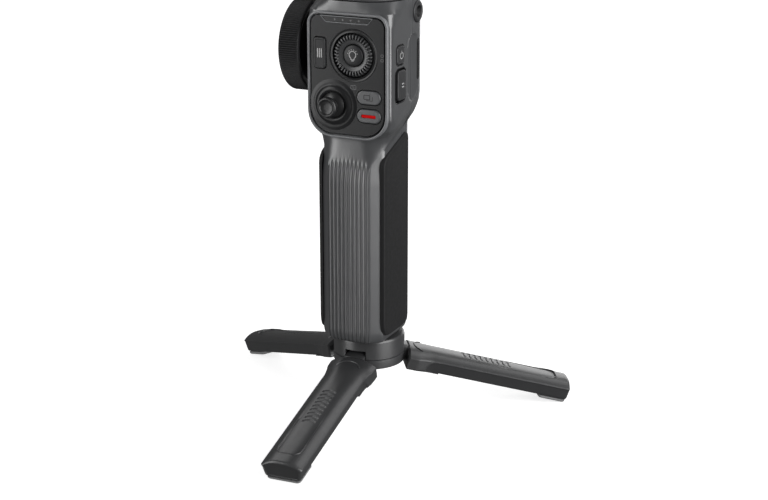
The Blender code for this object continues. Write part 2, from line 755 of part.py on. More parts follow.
def make_tilt_rotor():
    profile = [(0, -28.0), (11.5, -28.0), (12.5, -29.0), (12.5, -33.6), (4.3, -33.6),
               (4.3, -44.0), (0, -44.0)]
    return add("tilt_rotor", lathe(profile, (0, TILT_Y, AXIS_Z), "X", 32), DARK,
               (-31, TILT_Y, AXIS_Z))


def make_clamp_base():
    outline = [(-27.7, -4.2), (-24.0, -4.9), (10.0, -4.9), (10.0, 1.5), (-21.0, 1.5),
               (-24.4, 5.0), (-24.4, 19.5), (-27.7, 19.5)]
    obj = add("clamp_base", prism(outline, AXIS_Z - 10, AXIS_Z + 10, "Z"), GREY,
              (-31, TILT_Y, AXIS_Z))
    bar = prism(rounded(0, -1.4, 10.5, 3.9, 1.5), 252.0, 300.0, "Z")
    boolean(obj, bar, "bar", "UNION")
    boolean(obj, prism(rounded(0, -1.4, 7.3, 2.0, 1.4), 250.0, 302.0, "Z"), "tongue_slot")
    return obj


def make_lower_jaw():
    outline = [(-12.3, 241.8), (1.5, 241.8), (2.5, 242.8), (2.5, 251.7), (-5.2, 251.7),
               (-5.2, 246.5), (-15.6, 246.5), (-15.9, 250.0), (-17.6, 250.0), (-18.2, 246.3)]
    return add("lower_jaw", prism(outline, -13.0, 13.0, "X"), DARK, (-31, TILT_Y, AXIS_Z))


def make_lower_jaw_pad():
    return add("lower_jaw_pad", box(-12, 12, -15.2, -5.6, 246.8, 248.8), BLACK,
               (-31, TILT_Y, AXIS_Z))


def make_upper_jaw():
    outline = [(-12.3, 311.6), (1.5, 311.6), (2.5, 310.6), (2.5, 300.6), (-5.2, 300.6),
               (-5.2, 307.1), (-15.6, 307.1), (-15.9, 303.6), (-17.6, 303.6), (-18.2, 307.3)]
    return add("upper_jaw", prism(outline, -13.0, 13.0, "X"), DARK, (0, -1.4, 306))


def make_upper_jaw_pad():
    return add("upper_jaw_pad", box(-12, 12, -15.2, -5.6, 304.8, 306.8), BLACK, (0, -1.4, 306))


def make_clamp_tongue():
    return add("clamp_tongue", prism(rounded(0, -1.4, 7.0, 1.7, 1.2), 256.0, 300.3, "Z"), STEEL,
               (0, -1.4, 306))


def main():
    global parts, cutters
    clear_scene()
    parts = new_collection("phone_stabiliser")
    cutters = new_collection("cutters")
    make_front_shell()
    make_rear_shell()
    make_grip_pad("grip_pad_right", 1)
    make_grip_pad("grip_pad_left", -1)
    make_panel_frame()
    make_control_panel()
    make_status_window()
    make_dial_bezel()
    make_dial_wheel()
    make_dial_button()
    make_joystick_bezel()
    make_joystick_cup()
    make_joystick_yoke()
    make_joystick_stick()
    make_joystick_cap()
    make_key("menu_button", MENU, (3.3, 8.1), 1.5, DARK)
    make_key("mode_button", MODE, (6.8, 3.6), 3.5, PALE)
    make_record_key()
    make_side_key("power_button", -12.6, 175.2, 4.5, 4.9, 2.1, 24.9)
    make_side_key("function_button", -12.3, 159.2, 5.6, 8.2, 2.4, 25.2)
    make_button_board()
    make_main_board()
    make_battery_cell()
    make_base_cap()
    make_usb_port()
    make_accessory_socket()
    make_side_insert()
    make_handwheel_axle()
    make_handwheel_disc()
    make_handwheel_tyre()
    make_trigger()
    make_trigger_pin()
    make_trigger_bracket()
    for side in LEG_ANGLES:
        make_leg(side)
        make_foot_pad(side)
        make_leg_pin(side)
    make_hub_upper()
    make_hub_lower()
    make_tripod_screw()
    make_pan_housing()
    make_pan_rotor()
    make_pan_arm()
    make_roll_housing()
    make_roll_rotor()
    make_roll_arm()
    make_tilt_housing()
    make_tilt_rotor()
    make_clamp_base()
    make_lower_jaw()
    make_lower_jaw_pad()
    make_upper_jaw()
    make_upper_jaw_pad()
    make_clamp_tongue()


main()
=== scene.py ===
"""Looks of the phone stabiliser: moulded shells, controls, tripod legs, motors and a plain studio,
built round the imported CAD.

Lengths are millimetres in the row frame; MM scales them when a mesh is written. Heights along Z
start at the hub's underside.
"""
import math
from functools import partial

import bmesh
import bpy
from mathutils import Matrix, Vector


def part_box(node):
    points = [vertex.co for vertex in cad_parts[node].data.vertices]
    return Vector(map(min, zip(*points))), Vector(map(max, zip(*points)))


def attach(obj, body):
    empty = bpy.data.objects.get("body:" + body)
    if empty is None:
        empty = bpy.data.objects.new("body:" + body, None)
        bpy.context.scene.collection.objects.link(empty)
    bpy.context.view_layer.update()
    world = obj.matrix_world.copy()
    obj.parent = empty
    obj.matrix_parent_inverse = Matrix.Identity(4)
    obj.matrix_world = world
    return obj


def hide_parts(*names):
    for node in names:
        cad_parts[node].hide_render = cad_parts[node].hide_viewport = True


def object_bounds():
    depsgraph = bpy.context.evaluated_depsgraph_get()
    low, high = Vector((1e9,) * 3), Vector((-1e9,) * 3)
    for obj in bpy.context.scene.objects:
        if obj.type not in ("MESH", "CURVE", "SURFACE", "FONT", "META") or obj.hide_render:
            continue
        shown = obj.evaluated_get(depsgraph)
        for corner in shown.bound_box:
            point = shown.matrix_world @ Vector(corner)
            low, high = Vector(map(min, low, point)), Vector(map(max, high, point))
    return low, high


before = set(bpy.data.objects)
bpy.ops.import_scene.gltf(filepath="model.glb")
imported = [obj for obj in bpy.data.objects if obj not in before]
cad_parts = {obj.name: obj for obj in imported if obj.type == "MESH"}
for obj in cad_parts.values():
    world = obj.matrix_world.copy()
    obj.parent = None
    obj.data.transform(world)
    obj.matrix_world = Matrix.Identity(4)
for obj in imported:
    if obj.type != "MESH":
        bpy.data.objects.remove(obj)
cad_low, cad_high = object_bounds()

MM = 0.001
scene = bpy.context.scene


# ---------------------------------------------------------------- the frame in millimetres
def low_mm(node):
    return [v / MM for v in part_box(node)[0]]


def high_mm(node):
    return [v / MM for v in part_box(node)[1]]


def middle_mm(node):
    return [(a + b) / 2 for a, b in zip(low_mm(node), high_mm(node))]


# ---------------------------------------------------------------- materials
def fill(node, **values):
    """Set a node's own values by socket name, with underscores for the name's spaces."""
    for key, value in values.items():
        node.inputs[key.replace("_", " ")].default_value = value


class Nodes:
    """A material's node tree with short ways to add and link nodes."""

    def __init__(self, name):
        self.material = bpy.data.materials.new(name)
        self.material.use_nodes = True
        self.tree = self.material.node_tree
        self.shader = self.tree.nodes["Principled BSDF"]
        self.place = self.add("ShaderNodeTexCoord").outputs["Object"]

    def add(self, kind, **values):
        node = self.tree.nodes.new(kind)
        for key, value in values.items():
            setattr(node, key, value)
        return node

    def link(self, output, target):
        self.tree.links.new(output, target)

    def noise(self, size_mm, detail=3.0, rough=0.55, stretch=None):
        """Noise with features of about that size; stretch scales the coordinates."""
        node = self.add("ShaderNodeTexNoise")
        fill(node, Scale=1.0 / (size_mm * MM), Detail=detail, Roughness=rough)
        where = self.place
        if stretch:
            mapping = self.add("ShaderNodeMapping")
            fill(mapping, Scale=stretch)
            self.link(self.place, mapping.inputs["Vector"])
            where = mapping.outputs["Vector"]
        self.link(where, node.inputs["Vector"])
        return node.outputs["Fac"]

    def pits(self, size_mm):
        node = self.add("ShaderNodeTexVoronoi", feature="SMOOTH_F1")
        fill(node, Scale=1.0 / (size_mm * MM))
        self.link(self.place, node.inputs["Vector"])
        return node.outputs["Distance"]

    def spread(self, source, low, high, start=0.3, end=0.7):
        node = self.add("ShaderNodeMapRange")
        fill(node, From_Min=start, From_Max=end, To_Min=low, To_Max=high)
        self.link(source, node.inputs["Value"])
        return node.outputs["Result"]

    def ramp(self, source, dark, light, start=0.3, end=0.7):
        node = self.add("ShaderNodeValToRGB")
        for stop, position, colour in zip(node.color_ramp.elements, (start, end), (dark, light)):
            stop.position, stop.color = position, (*colour, 1)
        self.link(source, node.inputs["Fac"])
        return node.outputs["Color"]

    def mix(self, factor, first, second, blend="MIX"):
        node = self.add("ShaderNodeMix", data_type="RGBA", blend_type=blend)
        for value, socket in ((factor, node.inputs[0]), (first, node.inputs[6]), (second, node.inputs[7])):
            if hasattr(value, "is_linked"):
                self.link(value, socket)
            elif isinstance(value, tuple):
                socket.default_value = (*value, 1)
            else:
                socket.default_value = value
        return node.outputs[2]

    def worn(self, colour, amount, pale):
        """Edges a little paler, where handling has rubbed them."""
        edge = self.add("ShaderNodeNewGeometry").outputs["Pointiness"]
        strength = self.spread(edge, 0.0, amount, 0.51, 0.56)
        return self.mix(strength, colour, pale)

    def bump(self, source, depth_mm, strength=1.0, after=None):
        node = self.add("ShaderNodeBump")
        fill(node, Strength=strength, Distance=depth_mm * MM)
        self.link(source, node.inputs["Height"])
        if after:
            self.link(after, node.inputs["Normal"])
        return node.outputs["Normal"]

    def finish(self, colour, rough, normal):
        self.link(colour, self.shader.inputs["Base Color"])
        self.link(rough, self.shader.inputs["Roughness"])
        self.link(normal, self.shader.inputs["Normal"])
        return self.material


def shade(base, factor):
    return tuple(min(1.0, v * factor) for v in base)


def moulded(name, base, rough, grain_mm=0.35, depth_mm=0.012, wear=0.25, coat=0.0, specular=0.5,
            ior=1.5):
    """Spark-eroded moulded plastic: fine grain, faint clouding, paler edges."""
    n = Nodes(name)
    cloud = n.noise(9.0, 3.0)
    speck = n.noise(grain_mm, 2.0, 0.7)
    colour = n.ramp(cloud, shade(base, 0.93), shade(base, 1.07))
    colour = n.mix(n.spread(speck, 0.0, 0.22), colour, shade(base, 1.3))
    colour = n.worn(colour, wear, shade(base, 1.9))
    scuff = n.noise(3.5, 2.0, 0.5, (1.0, 1.0, 0.35))
    roughness = n.spread(scuff, rough - 0.015, rough + 0.03, 0.2, 0.8)
    normal = n.bump(speck, depth_mm, 0.3)
    normal = n.bump(cloud, 0.02, 0.25, normal)
    fill(n.shader, Specular_IOR_Level=specular, IOR=ior, Coat_Weight=coat, Coat_Roughness=0.28)
    return n.finish(colour, roughness, normal)


def elastomer(name, base, rough, grain_mm=0.5):
    """Soft-touch rubber: pebbled skin, dusty sheen and slightly greyed edges."""
    n = Nodes(name)
    pebble = n.pits(grain_mm)
    cloud = n.noise(6.0, 4.0)
    colour = n.ramp(cloud, shade(base, 0.85), shade(base, 1.2))
    colour = n.mix(n.spread(pebble, 0.0, 0.3, 0.2, 0.6), colour, shade(base, 0.6))
    colour = n.worn(colour, 0.3, shade(base, 2.4))
    dust = n.noise(2.2, 5.0, 0.65)
    roughness = n.spread(dust, rough - 0.05, rough + 0.07)
    normal = n.bump(pebble, 0.03, 0.5)
    fill(n.shader, Sheen_Weight=0.05, Sheen_Roughness=0.5, Specular_IOR_Level=0.35)
    return n.finish(colour, roughness, normal)


def metal(name, base, rough, stretch=(1.0, 1.0, 25.0), size_mm=2.0):
    """Turned or brushed metal with fine drawn lines and small stains."""
    n = Nodes(name)
    lines = n.noise(size_mm, 5.0, 0.7, stretch)
    stain = n.noise(5.0, 4.0)
    colour = n.ramp(stain, shade(base, 0.82), base)
    colour = n.mix(n.spread(lines, 0.0, 0.25), colour, shade(base, 0.7))
    roughness = n.spread(lines, rough - 0.08, rough + 0.1)
    normal = n.bump(lines, 0.01, 0.4)
    fill(n.shader, Metallic=1.0)
    return n.finish(colour, roughness, normal)


def printed(name, base, rough=0.45, painted_glow=0.0, specular=0.5):
    """Pad-printed ink, a little thin in places; painted_glow makes the ink glow faintly, a painted light,
    though it is no lamp.
    """
    n = Nodes(name)
    patchy = n.noise(0.4, 3.0, 0.6)
    colour = n.ramp(patchy, shade(base, 0.82), base)
    roughness = n.spread(patchy, rough - 0.05, rough + 0.08)
    normal = n.bump(patchy, 0.008, 0.4)
    # emission in the ink's own colour: a painted glow, not a lamp
    fill(n.shader, Specular_IOR_Level=specular, Emission_Color=(*base, 1), Emission_Strength=painted_glow)
    return n.finish(colour, roughness, normal)


def circuit_board():
    """Green laminate with lighter copper tracks under the mask."""
    n = Nodes("board_laminate")
    brick = n.add("ShaderNodeTexBrick")
    fill(brick, Scale=300.0, Mortar_Size=0.012, Color1=(0.008, 0.07, 0.03, 1),
         Color2=(0.010, 0.09, 0.04, 1), Mortar=(0.05, 0.22, 0.10, 1))
    n.link(n.place, brick.inputs["Vector"])
    weave = n.noise(0.6, 2.0)
    return n.finish(brick.outputs["Color"], n.spread(weave, 0.35, 0.5),
                    n.bump(brick.outputs["Fac"], 0.03, 0.4))


GREY = moulded("shell_satin", (0.066, 0.0678, 0.071), 0.30, wear=0.3, specular=1.0, ior=1.65)
GREY_UPPER = moulded("arm_satin", (0.060, 0.0617, 0.0645), 0.32, wear=0.3, specular=1.0, ior=1.65)
CHARCOAL = moulded("leg_charcoal", (0.038, 0.0386, 0.040), 0.33, 0.3, 0.014, wear=0.35, specular=1.0)
DARK = moulded("dark_satin", (0.026, 0.0265, 0.028), 0.40, wear=0.35)
PANEL = moulded("panel_satin", (0.015, 0.0153, 0.0163), 0.29, 0.25, 0.006, wear=0.0)
TRIM = moulded("trim_satin", (0.165, 0.169, 0.176), 0.30, wear=0.3, specular=1.0)
KEY = moulded("key_satin", (0.080, 0.082, 0.086), 0.28, 0.25, 0.006, wear=0.5, specular=1.0)
DIAL_SATIN = moulded("dial_satin", (0.050, 0.051, 0.053), 0.34, 0.25, 0.006, wear=0.5, specular=1.0)
STICK = moulded("stick_satin", (0.013, 0.0132, 0.014), 0.33, 0.3, 0.008, wear=0.4, specular=0.8)
GLOSS = moulded("black_gloss", (0.010, 0.010, 0.011), 0.24, 0.2, 0.003, wear=0.1, coat=0.3)
RUBBER = elastomer("grip_rubber", (0.0080, 0.0080, 0.0086), 0.58)
WHEEL = elastomer("wheel_rubber", (0.0140, 0.0140, 0.0150), 0.5, 0.35)
FOOT = elastomer("foot_rubber_grey", (0.19, 0.19, 0.193), 0.6)
STEEL = metal("plated_steel", (0.55, 0.55, 0.57), 0.28)
ALLOY = metal("cast_alloy", (0.16, 0.16, 0.165), 0.38, (1, 1, 1), 1.0)
# white ink with a faint painted glow (emission), though it is no lamp
WHITE = printed("white_print_painted_glow", (0.72, 0.72, 0.72), painted_glow=0.05)
SOFT_WHITE = printed("grey_print", (0.22, 0.22, 0.225))
# red infill with a painted glow (emission 0.1) to keep it bright, though it is no lamp
RED = printed("red_infill_painted_glow", (0.55, 0.001, 0.001), 0.5, 0.25, 0.1)
BOARD = circuit_board()
CELL = printed("cell_wrap", (0.05, 0.16, 0.32), 0.3)


# ---------------------------------------------------------------- outlines
def soften(points, radius, steps=3, closed=True):
    """Round every corner of an outline; radius is one number, or one for each corner."""
    count = len(points)
    made = []
    for k, (px, py) in enumerate(points):
        r = radius[k] if isinstance(radius, (list, tuple)) else radius
        if r <= 0 or (not closed and k in (0, count - 1)):
            made.append((px, py))
            continue
        ends = []
        for qx, qy in (points[k - 1], points[(k + 1) % count]):
            leg = math.hypot(qx - px, qy - py)
            share = min(r / leg, 0.45)
            ends.append((px + (qx - px) * share, py + (qy - py) * share))
        (ax, ay), (bx, by) = ends
        for i in range(steps + 1):
            t = i / steps
            made.append(((1 - t) ** 2 * ax + 2 * t * (1 - t) * px + t * t * bx,
                         (1 - t) ** 2 * ay + 2 * t * (1 - t) * py + t * t * by))
    return made


def area(points):
    return sum(a[0] * b[1] - b[0] * a[1] for a, b in zip(points, points[1:] + points[:1])) / 2


def offset(points, out):
    """Move a closed outline outwards, or inwards when out is negative."""
    sign = 1 if area(points) > 0 else -1
    made = []
    for k, (px, py) in enumerate(points):
        (ax, ay), (bx, by) = points[k - 1], points[(k + 1) % len(points)]
        la, lb = math.hypot(px - ax, py - ay) or 1, math.hypot(bx - px, by - py) or 1
        nx = (py - ay) / la + (by - py) / lb
        ny = -(px - ax) / la - (bx - px) / lb
        size = math.hypot(nx, ny) or 1
        stretch = min(2.0 / size, 1.6)
        made.append((px + sign * out * nx / size * stretch, py + sign * out * ny / size * stretch))
    return made


def rounded(u, v, half_u, half_v, radii, steps=6):
    """Rounded rectangle; radii are for the corners (+u,+v), (-u,+v), (-u,-v), (+u,-v)."""
    points = []
    for k, (su, sv) in enumerate(((1, 1), (-1, 1), (-1, -1), (1, -1))):
        r = radii[k] if isinstance(radii, (list, tuple)) else radii
        points += arc(u + su * (half_u - r), v + sv * (half_v - r), r, 90 * k, 90 * (k + 1), steps)
    return points


def arc(u, v, r, start, end, steps=16):
    turns = [math.radians(start + (end - start) * i / steps) for i in range(steps + 1)]
    return [(u + r * math.cos(turn), v + r * math.sin(turn)) for turn in turns]


def circle(u, v, r, steps=48):
    return arc(u, v, r, 0, 360, steps)[:-1]


def placed(u, v, h, axis):
    """A point (u, v) of a flat outline at height h along the named axis."""
    return {"X": (h, u, v), "Y": (u, h, v), "Z": (u, v, h)}[axis]


# ---------------------------------------------------------------- solids
def skin(rings, into=None, ends=True):
    """A closed body through rings of equal length; without ends, the last ring joins the first."""
    bm = into or bmesh.new()
    rows = [[bm.verts.new(point) for point in ring] for ring in rings]
    for low, high in zip(rows, rows[1:] if ends else rows[1:] + rows[:1]):
        for i in range(len(low)):
            j = (i + 1) % len(low)
            bm.faces.new((low[i], low[j], high[j], high[i]))
    if ends:
        bm.faces.new(rows[0])
        bm.faces.new(list(reversed(rows[-1])))
    return bm


def tower(outline, levels, axis, into=None):
    """A closed body over an outline; levels are (height, outward offset) from end to end."""
    rings = [[placed(u, v, h, axis) for u, v in (offset(outline, out) if out else outline)]
             for h, out in levels]
    return skin(rings, into)


def prism(outline, low, high, axis):
    return tower(outline, [(low, 0), (high, 0)], axis)


def edge_levels(back, front, radius, steps=4):
    """Levels of a prism from back to front with a rounded front edge."""
    side = 1 if front > back else -1
    made = [(back, 0.0)]
    for i in range(steps + 1):
        turn = math.pi / 2 * i / steps
        made.append((front - side * radius * (1 - math.sin(turn)), -radius * (1 - math.cos(turn))))
    return made


def turned(profile, centre, axis, steps=96, into=None, wave=None):
    """Turn a closed (radius, height) profile; wave(turn, radius, height) may change each point."""
    bm = into or bmesh.new()
    rows = []
    for r, h in profile:
        row = []
        for i in range(steps if r > 1e-6 else 1):
            turn = 2 * math.pi * i / steps
            rr, hh = wave(turn, r, h) if wave else (r, h)
            a, b = rr * math.cos(turn), rr * math.sin(turn)
            local = {"X": (hh, a, b), "Y": (b, hh, a), "Z": (a, b, hh)}[axis]
            row.append(bm.verts.new([c + d for c, d in zip(centre, local)]))
        rows.append(row)
    for k, low in enumerate(rows):
        high = rows[(k + 1) % len(rows)]
        for i in range(steps):
            j = (i + 1) % steps
            quad = list(dict.fromkeys((low[i % len(low)], low[j % len(low)], high[j % len(high)],
                                       high[i % len(high)])))
            if len(quad) > 2:
                bm.faces.new(quad)
    return bm


def round_profile(profile, radius, steps=3):
    """Round a turned profile's corners, apart from those on the axis."""
    return soften(profile, [0 if r < 1e-6 else radius for r, _ in profile], steps)


def tube(points, radius, into, sides=8):
    """A round bead that follows 3-D points."""
    points = [Vector(p) for p in points]
    rings = []
    for k, point in enumerate(points):
        along = (points[min(k + 1, len(points) - 1)] - points[max(k - 1, 0)]).normalized()
        side = along.cross(Vector((0.31, 0.52, 0.8))).normalized()
        other = along.cross(side)
        rings.append([point + radius * (math.cos(a) * side + math.sin(a) * other)
                      for a in (2 * math.pi * i / sides for i in range(sides))])
    return skin(rings, into)


def stroke(points, width, axis, low, high, into, closed=False):
    """A flat printed or moulded line along 2-D points, between two heights along the axis."""
    count = len(points)
    rings = []
    for k, (px, py) in enumerate(points):
        ax, ay = points[k - 1] if k or closed else points[k]
        bx, by = points[(k + 1) % count] if k < count - 1 or closed else points[k]
        size = math.hypot(bx - ax, by - ay) or 1
        nx, ny = -(by - ay) / size * width / 2, (bx - ax) / size * width / 2
        rings.append([placed(px + side * nx, py + side * ny, h, axis)
                      for side, h in ((1, low), (-1, low), (-1, high), (1, high))])
    return skin(rings, into, ends=not closed)


def dot(u, v, r, axis, low, high, into):
    return tower(circle(u, v, r, 16), [(low, 0), (high, 0)], axis, into)


def smooth_faces(mesh, sharp):
    for face in mesh.polygons:
        face.use_smooth = True
    mesh.set_sharp_from_angle(angle=math.radians(sharp))


def mesh_of(name, bm, sharp=30):
    bmesh.ops.remove_doubles(bm, verts=bm.verts, dist=1e-4)
    bmesh.ops.recalc_face_normals(bm, faces=bm.faces)
    for vert in bm.verts:
        vert.co *= MM
    mesh = bpy.data.meshes.new(name)
    bm.to_mesh(mesh)
    bm.free()
    smooth_faces(mesh, sharp)
    return mesh


def shown(name, data):
    """A new object in the scene, with that mesh, light or camera."""
    obj = bpy.data.objects.new(name, data)
    scene.collection.objects.link(obj)
    return obj


def piece(name, bm, material, body, stands_for=(), sharp=30, cuts=()):
    """Write a body as a piece that rides on a CAD body; cuts are closed bodies taken out of it."""
    obj = shown(name, mesh_of(name, bm, sharp))
    cutters = [shown(f"{name}_cutter_{k}", mesh_of(f"{name}_cutter_{k}", cut))
               for k, cut in enumerate(cuts)]
    for cutter in cutters:
        mod = obj.modifiers.new(cutter.name, "BOOLEAN")
        mod.operation, mod.solver, mod.object = "DIFFERENCE", "MANIFOLD", cutter
    if cutters:
        graph = bpy.context.evaluated_depsgraph_get()
        cut_mesh = bpy.data.meshes.new_from_object(obj.evaluated_get(graph))
        obj.modifiers.clear()
        obj.data = cut_mesh
        for cutter in cutters:
            bpy.data.objects.remove(cutter)
        smooth_faces(cut_mesh, sharp)
    obj.data.materials.clear()
    obj.data.materials.append(material)
    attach(obj, body)
    flat = obj.modifiers.new("flat_faces_stay_flat", "WEIGHTED_NORMAL")
    flat.keep_sharp = True
    if stands_for:
        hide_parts(*([stands_for] if isinstance(stands_for, str) else stands_for))
    return obj


def refined(name, node, material, body, radius=0.6, segments=3, sharp=30):
    """A finer copy of a CAD node: coplanar faces are joined and its sharp edges rounded."""
    bm = bmesh.new()
    bm.from_mesh(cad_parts[node].data)
    for vert in bm.verts:
        vert.co /= MM
    bmesh.ops.remove_doubles(bm, verts=bm.verts, dist=1e-3)
    bmesh.ops.dissolve_limit(bm, angle_limit=math.radians(2), verts=bm.verts, edges=bm.edges)
    edges = [e for e in bm.edges
             if len(e.link_faces) == 2 and e.calc_face_angle(0) > math.radians(sharp)]
    bmesh.ops.bevel(bm, geom=edges, offset=radius, segments=segments, profile=0.5, affect="EDGES",
                    clamp_overlap=True)
    return piece(name, bm, material, body, node)


# ---------------------------------------------------------------- grip and head sections
GRIP_FRONT, GRIP_HALF, RIBBED_HALF = -25.8, 18.1, 12.0
HEAD_FRONT, HEAD_HALF, HEAD_LOW_HALF = -24.2, 24.4, 23.1

# height, front y, half width, share of the head's outline, corner cut, slant of the section, inset
BODY_RINGS = [(z, GRIP_FRONT, GRIP_HALF, 0.0, 0.0, 0.0, inset)
              for z, inset in ((16.8, 4.2), (17.8, 1.7), (20.0, 0.4), (24.0, 0.0), (28.0, 0.0),
                               (106.0, 0.0))]
BODY_RINGS += [
    (114.0, -25.2, GRIP_HALF, 0.0, 0.0, 0.3, 0.0),
    (119.0, HEAD_FRONT, GRIP_HALF, 0.1, 0.2, 0.7, 0.0),
    (123.0, -23.4, GRIP_HALF, 0.25, 0.5, 1.0, 0.0),
    (126.0, -23.0, 19.7, 0.45, 0.8, 1.0, 0.0),
    (129.0, -22.9, 21.6, 0.65, 1.0, 1.0, 0.0),
    (131.4, -23.1, 22.6, 0.85, 1.0, 1.0, 0.0),
    (132.8, HEAD_FRONT, HEAD_LOW_HALF, 1.0, 1.0, 1.0, 0.0),
    (136.0, HEAD_FRONT, 24.0, 1.0, 0.5, 1.0, 0.0),
    (139.0, HEAD_FRONT, 24.2, 1.0, 0.25, 0.9, 0.0),
]
BODY_RINGS += [(z, HEAD_FRONT, HEAD_HALF, 1.0, cut, slant, 0.0)
               for z, cut, slant in ((142.0, 0.1, 0.8), (148.0, 0.0, 0.5), (165.0, 0.0, 0.0),
                                     (203.0, 0.0, 0.0))]
CURL = 11.2  # height over which the lower end closes in
SLANT = 0.35
SEAM_Y = 2.5
SEAM_GAP = 0.3
WALL = 2.0
RIB_PITCH = 2.36
RIB_DEPTH = 0.65
RIB_BOW = 0.7
RIBS_TO = 121.5
FLARE_TOP = 132.8
FLARE_FROM_SIDE, FLARE_FROM_EDGE = 123.3, 118.0
SCOOP_Y, SCOOP_LOW, SCOOP_HIGH = 3.6, 155.0, 177.0
SCOOP_HALF, SCOOP_DEPTH = 6.2, 1.6
# the head's front corners are small beside the panel and grow from its upper edge to the top
HEAD_ROUND_FROM, HEAD_ROUND_TO = high_mm("control_panel")[2] + 1.9, 203.0
HEAD_ROUND_LEAD = 9.0
HEAD_ROUND_BESIDE, HEAD_ROUND_R = 6.5, 20.0


def clamp(t):
    return max(0.0, min(1.0, t))


def smooth(t):
    t = clamp(t)
    return t * t * (3 - 2 * t)


def slope_at(table, k, column):
    """Slope of a column at row k that never overshoots the rows."""
    if k in (0, len(table) - 1):
        return 0.0
    before = (table[k][column] - table[k - 1][column]) / (table[k][0] - table[k - 1][0])
    after = (table[k + 1][column] - table[k][column]) / (table[k + 1][0] - table[k][0])
    return 2 * before * after / (before + after) if before * after > 0 else 0.0


def between(table, key):
    """Smooth interpolation in rows of (key, values...)."""
    for k in range(len(table) - 1):
        low, high = table[k], table[k + 1]
        if key <= high[0] or k == len(table) - 2:
            width = high[0] - low[0]
            t = clamp((key - low[0]) / width)
            made = []
            for column in range(1, len(low)):
                m0, m1 = (slope_at(table, row, column) * width for row in (k, k + 1))
                made.append((2 * t ** 3 - 3 * t ** 2 + 1) * low[column]
                            + (t ** 3 - 2 * t ** 2 + t) * m0
                            + (3 * t ** 2 - 2 * t ** 3) * high[column] + (t ** 3 - t ** 2) * m1)
            return made


def half_outline(front, half, share, cut=0.0):
    """Right half of a section as corner points from the front centre to the seam, and the back's
    depth and corner radius. share goes from the grip's section (0) to the head's (1)."""

    def mix(grip, head):
        return grip + (head - grip) * share

    edge = mix(RIBBED_HALF, 15.0 - 6.0 * cut)
    strip_x = half - mix(0.4, 1.8 + 4.2 * cut)
    strip_y = front + mix(5.3, 2.2 * cut)
    side_y = front + mix(6.6, 2.2 + 6.5 * cut)
    back, r = mix(15.0, 19.0), mix(6.0, 8.0)
    return [
        (0.0, front), (edge, front + mix(0.4, 0.0)), (strip_x, strip_y),
        (half - mix(0.1, 0.5 + 1.3 * cut), strip_y + mix(0.7, 0.65 + 2.0 * cut)),
        (half, side_y), (half, SEAM_Y),
    ], back, r


def refine_path(points, cuts):
    """Cut leg k of an open path into cuts[k] pieces."""
    made = []
    for (ax, ay), (bx, by), n in zip(points, points[1:], cuts):
        made += [(ax + (bx - ax) * i / n, ay + (by - ay) * i / n) for i in range(n)]
    return made + [points[-1]]


def rib_height(x, z):
    """How deep the reeded front is cut at x; the grooves run out below the head."""
    fade = smooth((RIBS_TO - 0.12 * abs(x) - z) / 7.0)
    turn = math.cos(2 * math.pi * x / RIB_PITCH)
    return RIB_DEPTH * fade * (0.5 + 0.5 * turn) ** 1.6


def scoop_depth(y, z):
    """The oblong scoop on the right side: a crisp front edge and a floor that rises to the rear."""
    along = max(SCOOP_LOW, min(SCOOP_HIGH, z))
    away = math.hypot((y - SCOOP_Y) / SCOOP_HALF, (z - along) / (SCOOP_HALF * 1.15))
    inside = 1 - smooth((away - 0.86) / 0.14)
    rise = clamp((SCOOP_Y + SCOOP_HALF - y) / (2 * SCOOP_HALF))
    return SCOOP_DEPTH * inside * (0.12 + 0.88 * rise)


def rounded_corner(points, half, front, radius):
    """Pull a section's front corner in to an arc of that radius."""
    cx, cy = half - radius, front + radius
    made = []
    for x, y in points:
        away = math.hypot(x - cx, y - cy)
        if x > cx and y < cy and away > radius:
            x, y = cx + (x - cx) * radius / away, cy + (y - cy) * radius / away
        made.append((x, y))
    return made


def head_round(z):
    """Radius of the head's front corners: small beside the panel, large under the pan motor."""
    beside = smooth((z - HEAD_ROUND_FROM + HEAD_ROUND_LEAD) / HEAD_ROUND_LEAD)
    above = smooth((z - HEAD_ROUND_FROM) / (HEAD_ROUND_TO - HEAD_ROUND_FROM))
    return 1.0 + (HEAD_ROUND_BESIDE - 1.0) * beside + (HEAD_ROUND_R - HEAD_ROUND_BESIDE) * above


FRONT_SPLITS = [66, 1, 1, 1, 12] + [1] * 7 + [3, 1, 1, 1, 30]


def front_path(front, half, share, cut):
    """The front casing's half outline, its points spread the same way at every height, and the
    ribbed face's half width."""
    keys, _, _ = half_outline(front, half, share, cut)
    path = soften(keys, [0, 0.9, 0.7, 0.7, 1.4, 0], 3, closed=False)
    return refine_path(path, FRONT_SPLITS), keys[1][0]


SMEAR, SMEAR_TO_Y = 3.2, -4.0


def smeared(points, spans):
    """Average each point with its neighbours over its own span in mm along the outline."""
    run = [0.0]
    for (ax, ay), (bx, by) in zip(points, points[1:]):
        run.append(run[-1] + math.hypot(bx - ax, by - ay))
    share = [(run[min(k + 1, len(run) - 1)] - run[max(k - 1, 0)]) / 2 for k in range(len(run))]
    made = []
    for k, (x, y) in enumerate(points):
        span = min(spans[k], run[-1] - run[k])
        if span < 0.2 or k == 0:
            made.append((x, y))
            continue
        total = sx = sy = 0.0
        for m, (u, v) in enumerate(points):
            for sign in (1, -1):
                away = (run[m] * sign - run[k]) / span
                if abs(away) < 2.5:
                    w = math.exp(-away * away) * share[m]
                    total, sx, sy = total + w, sx + w * u * sign, sy + w * v
        made.append((sx / total, sy / total))
    return made


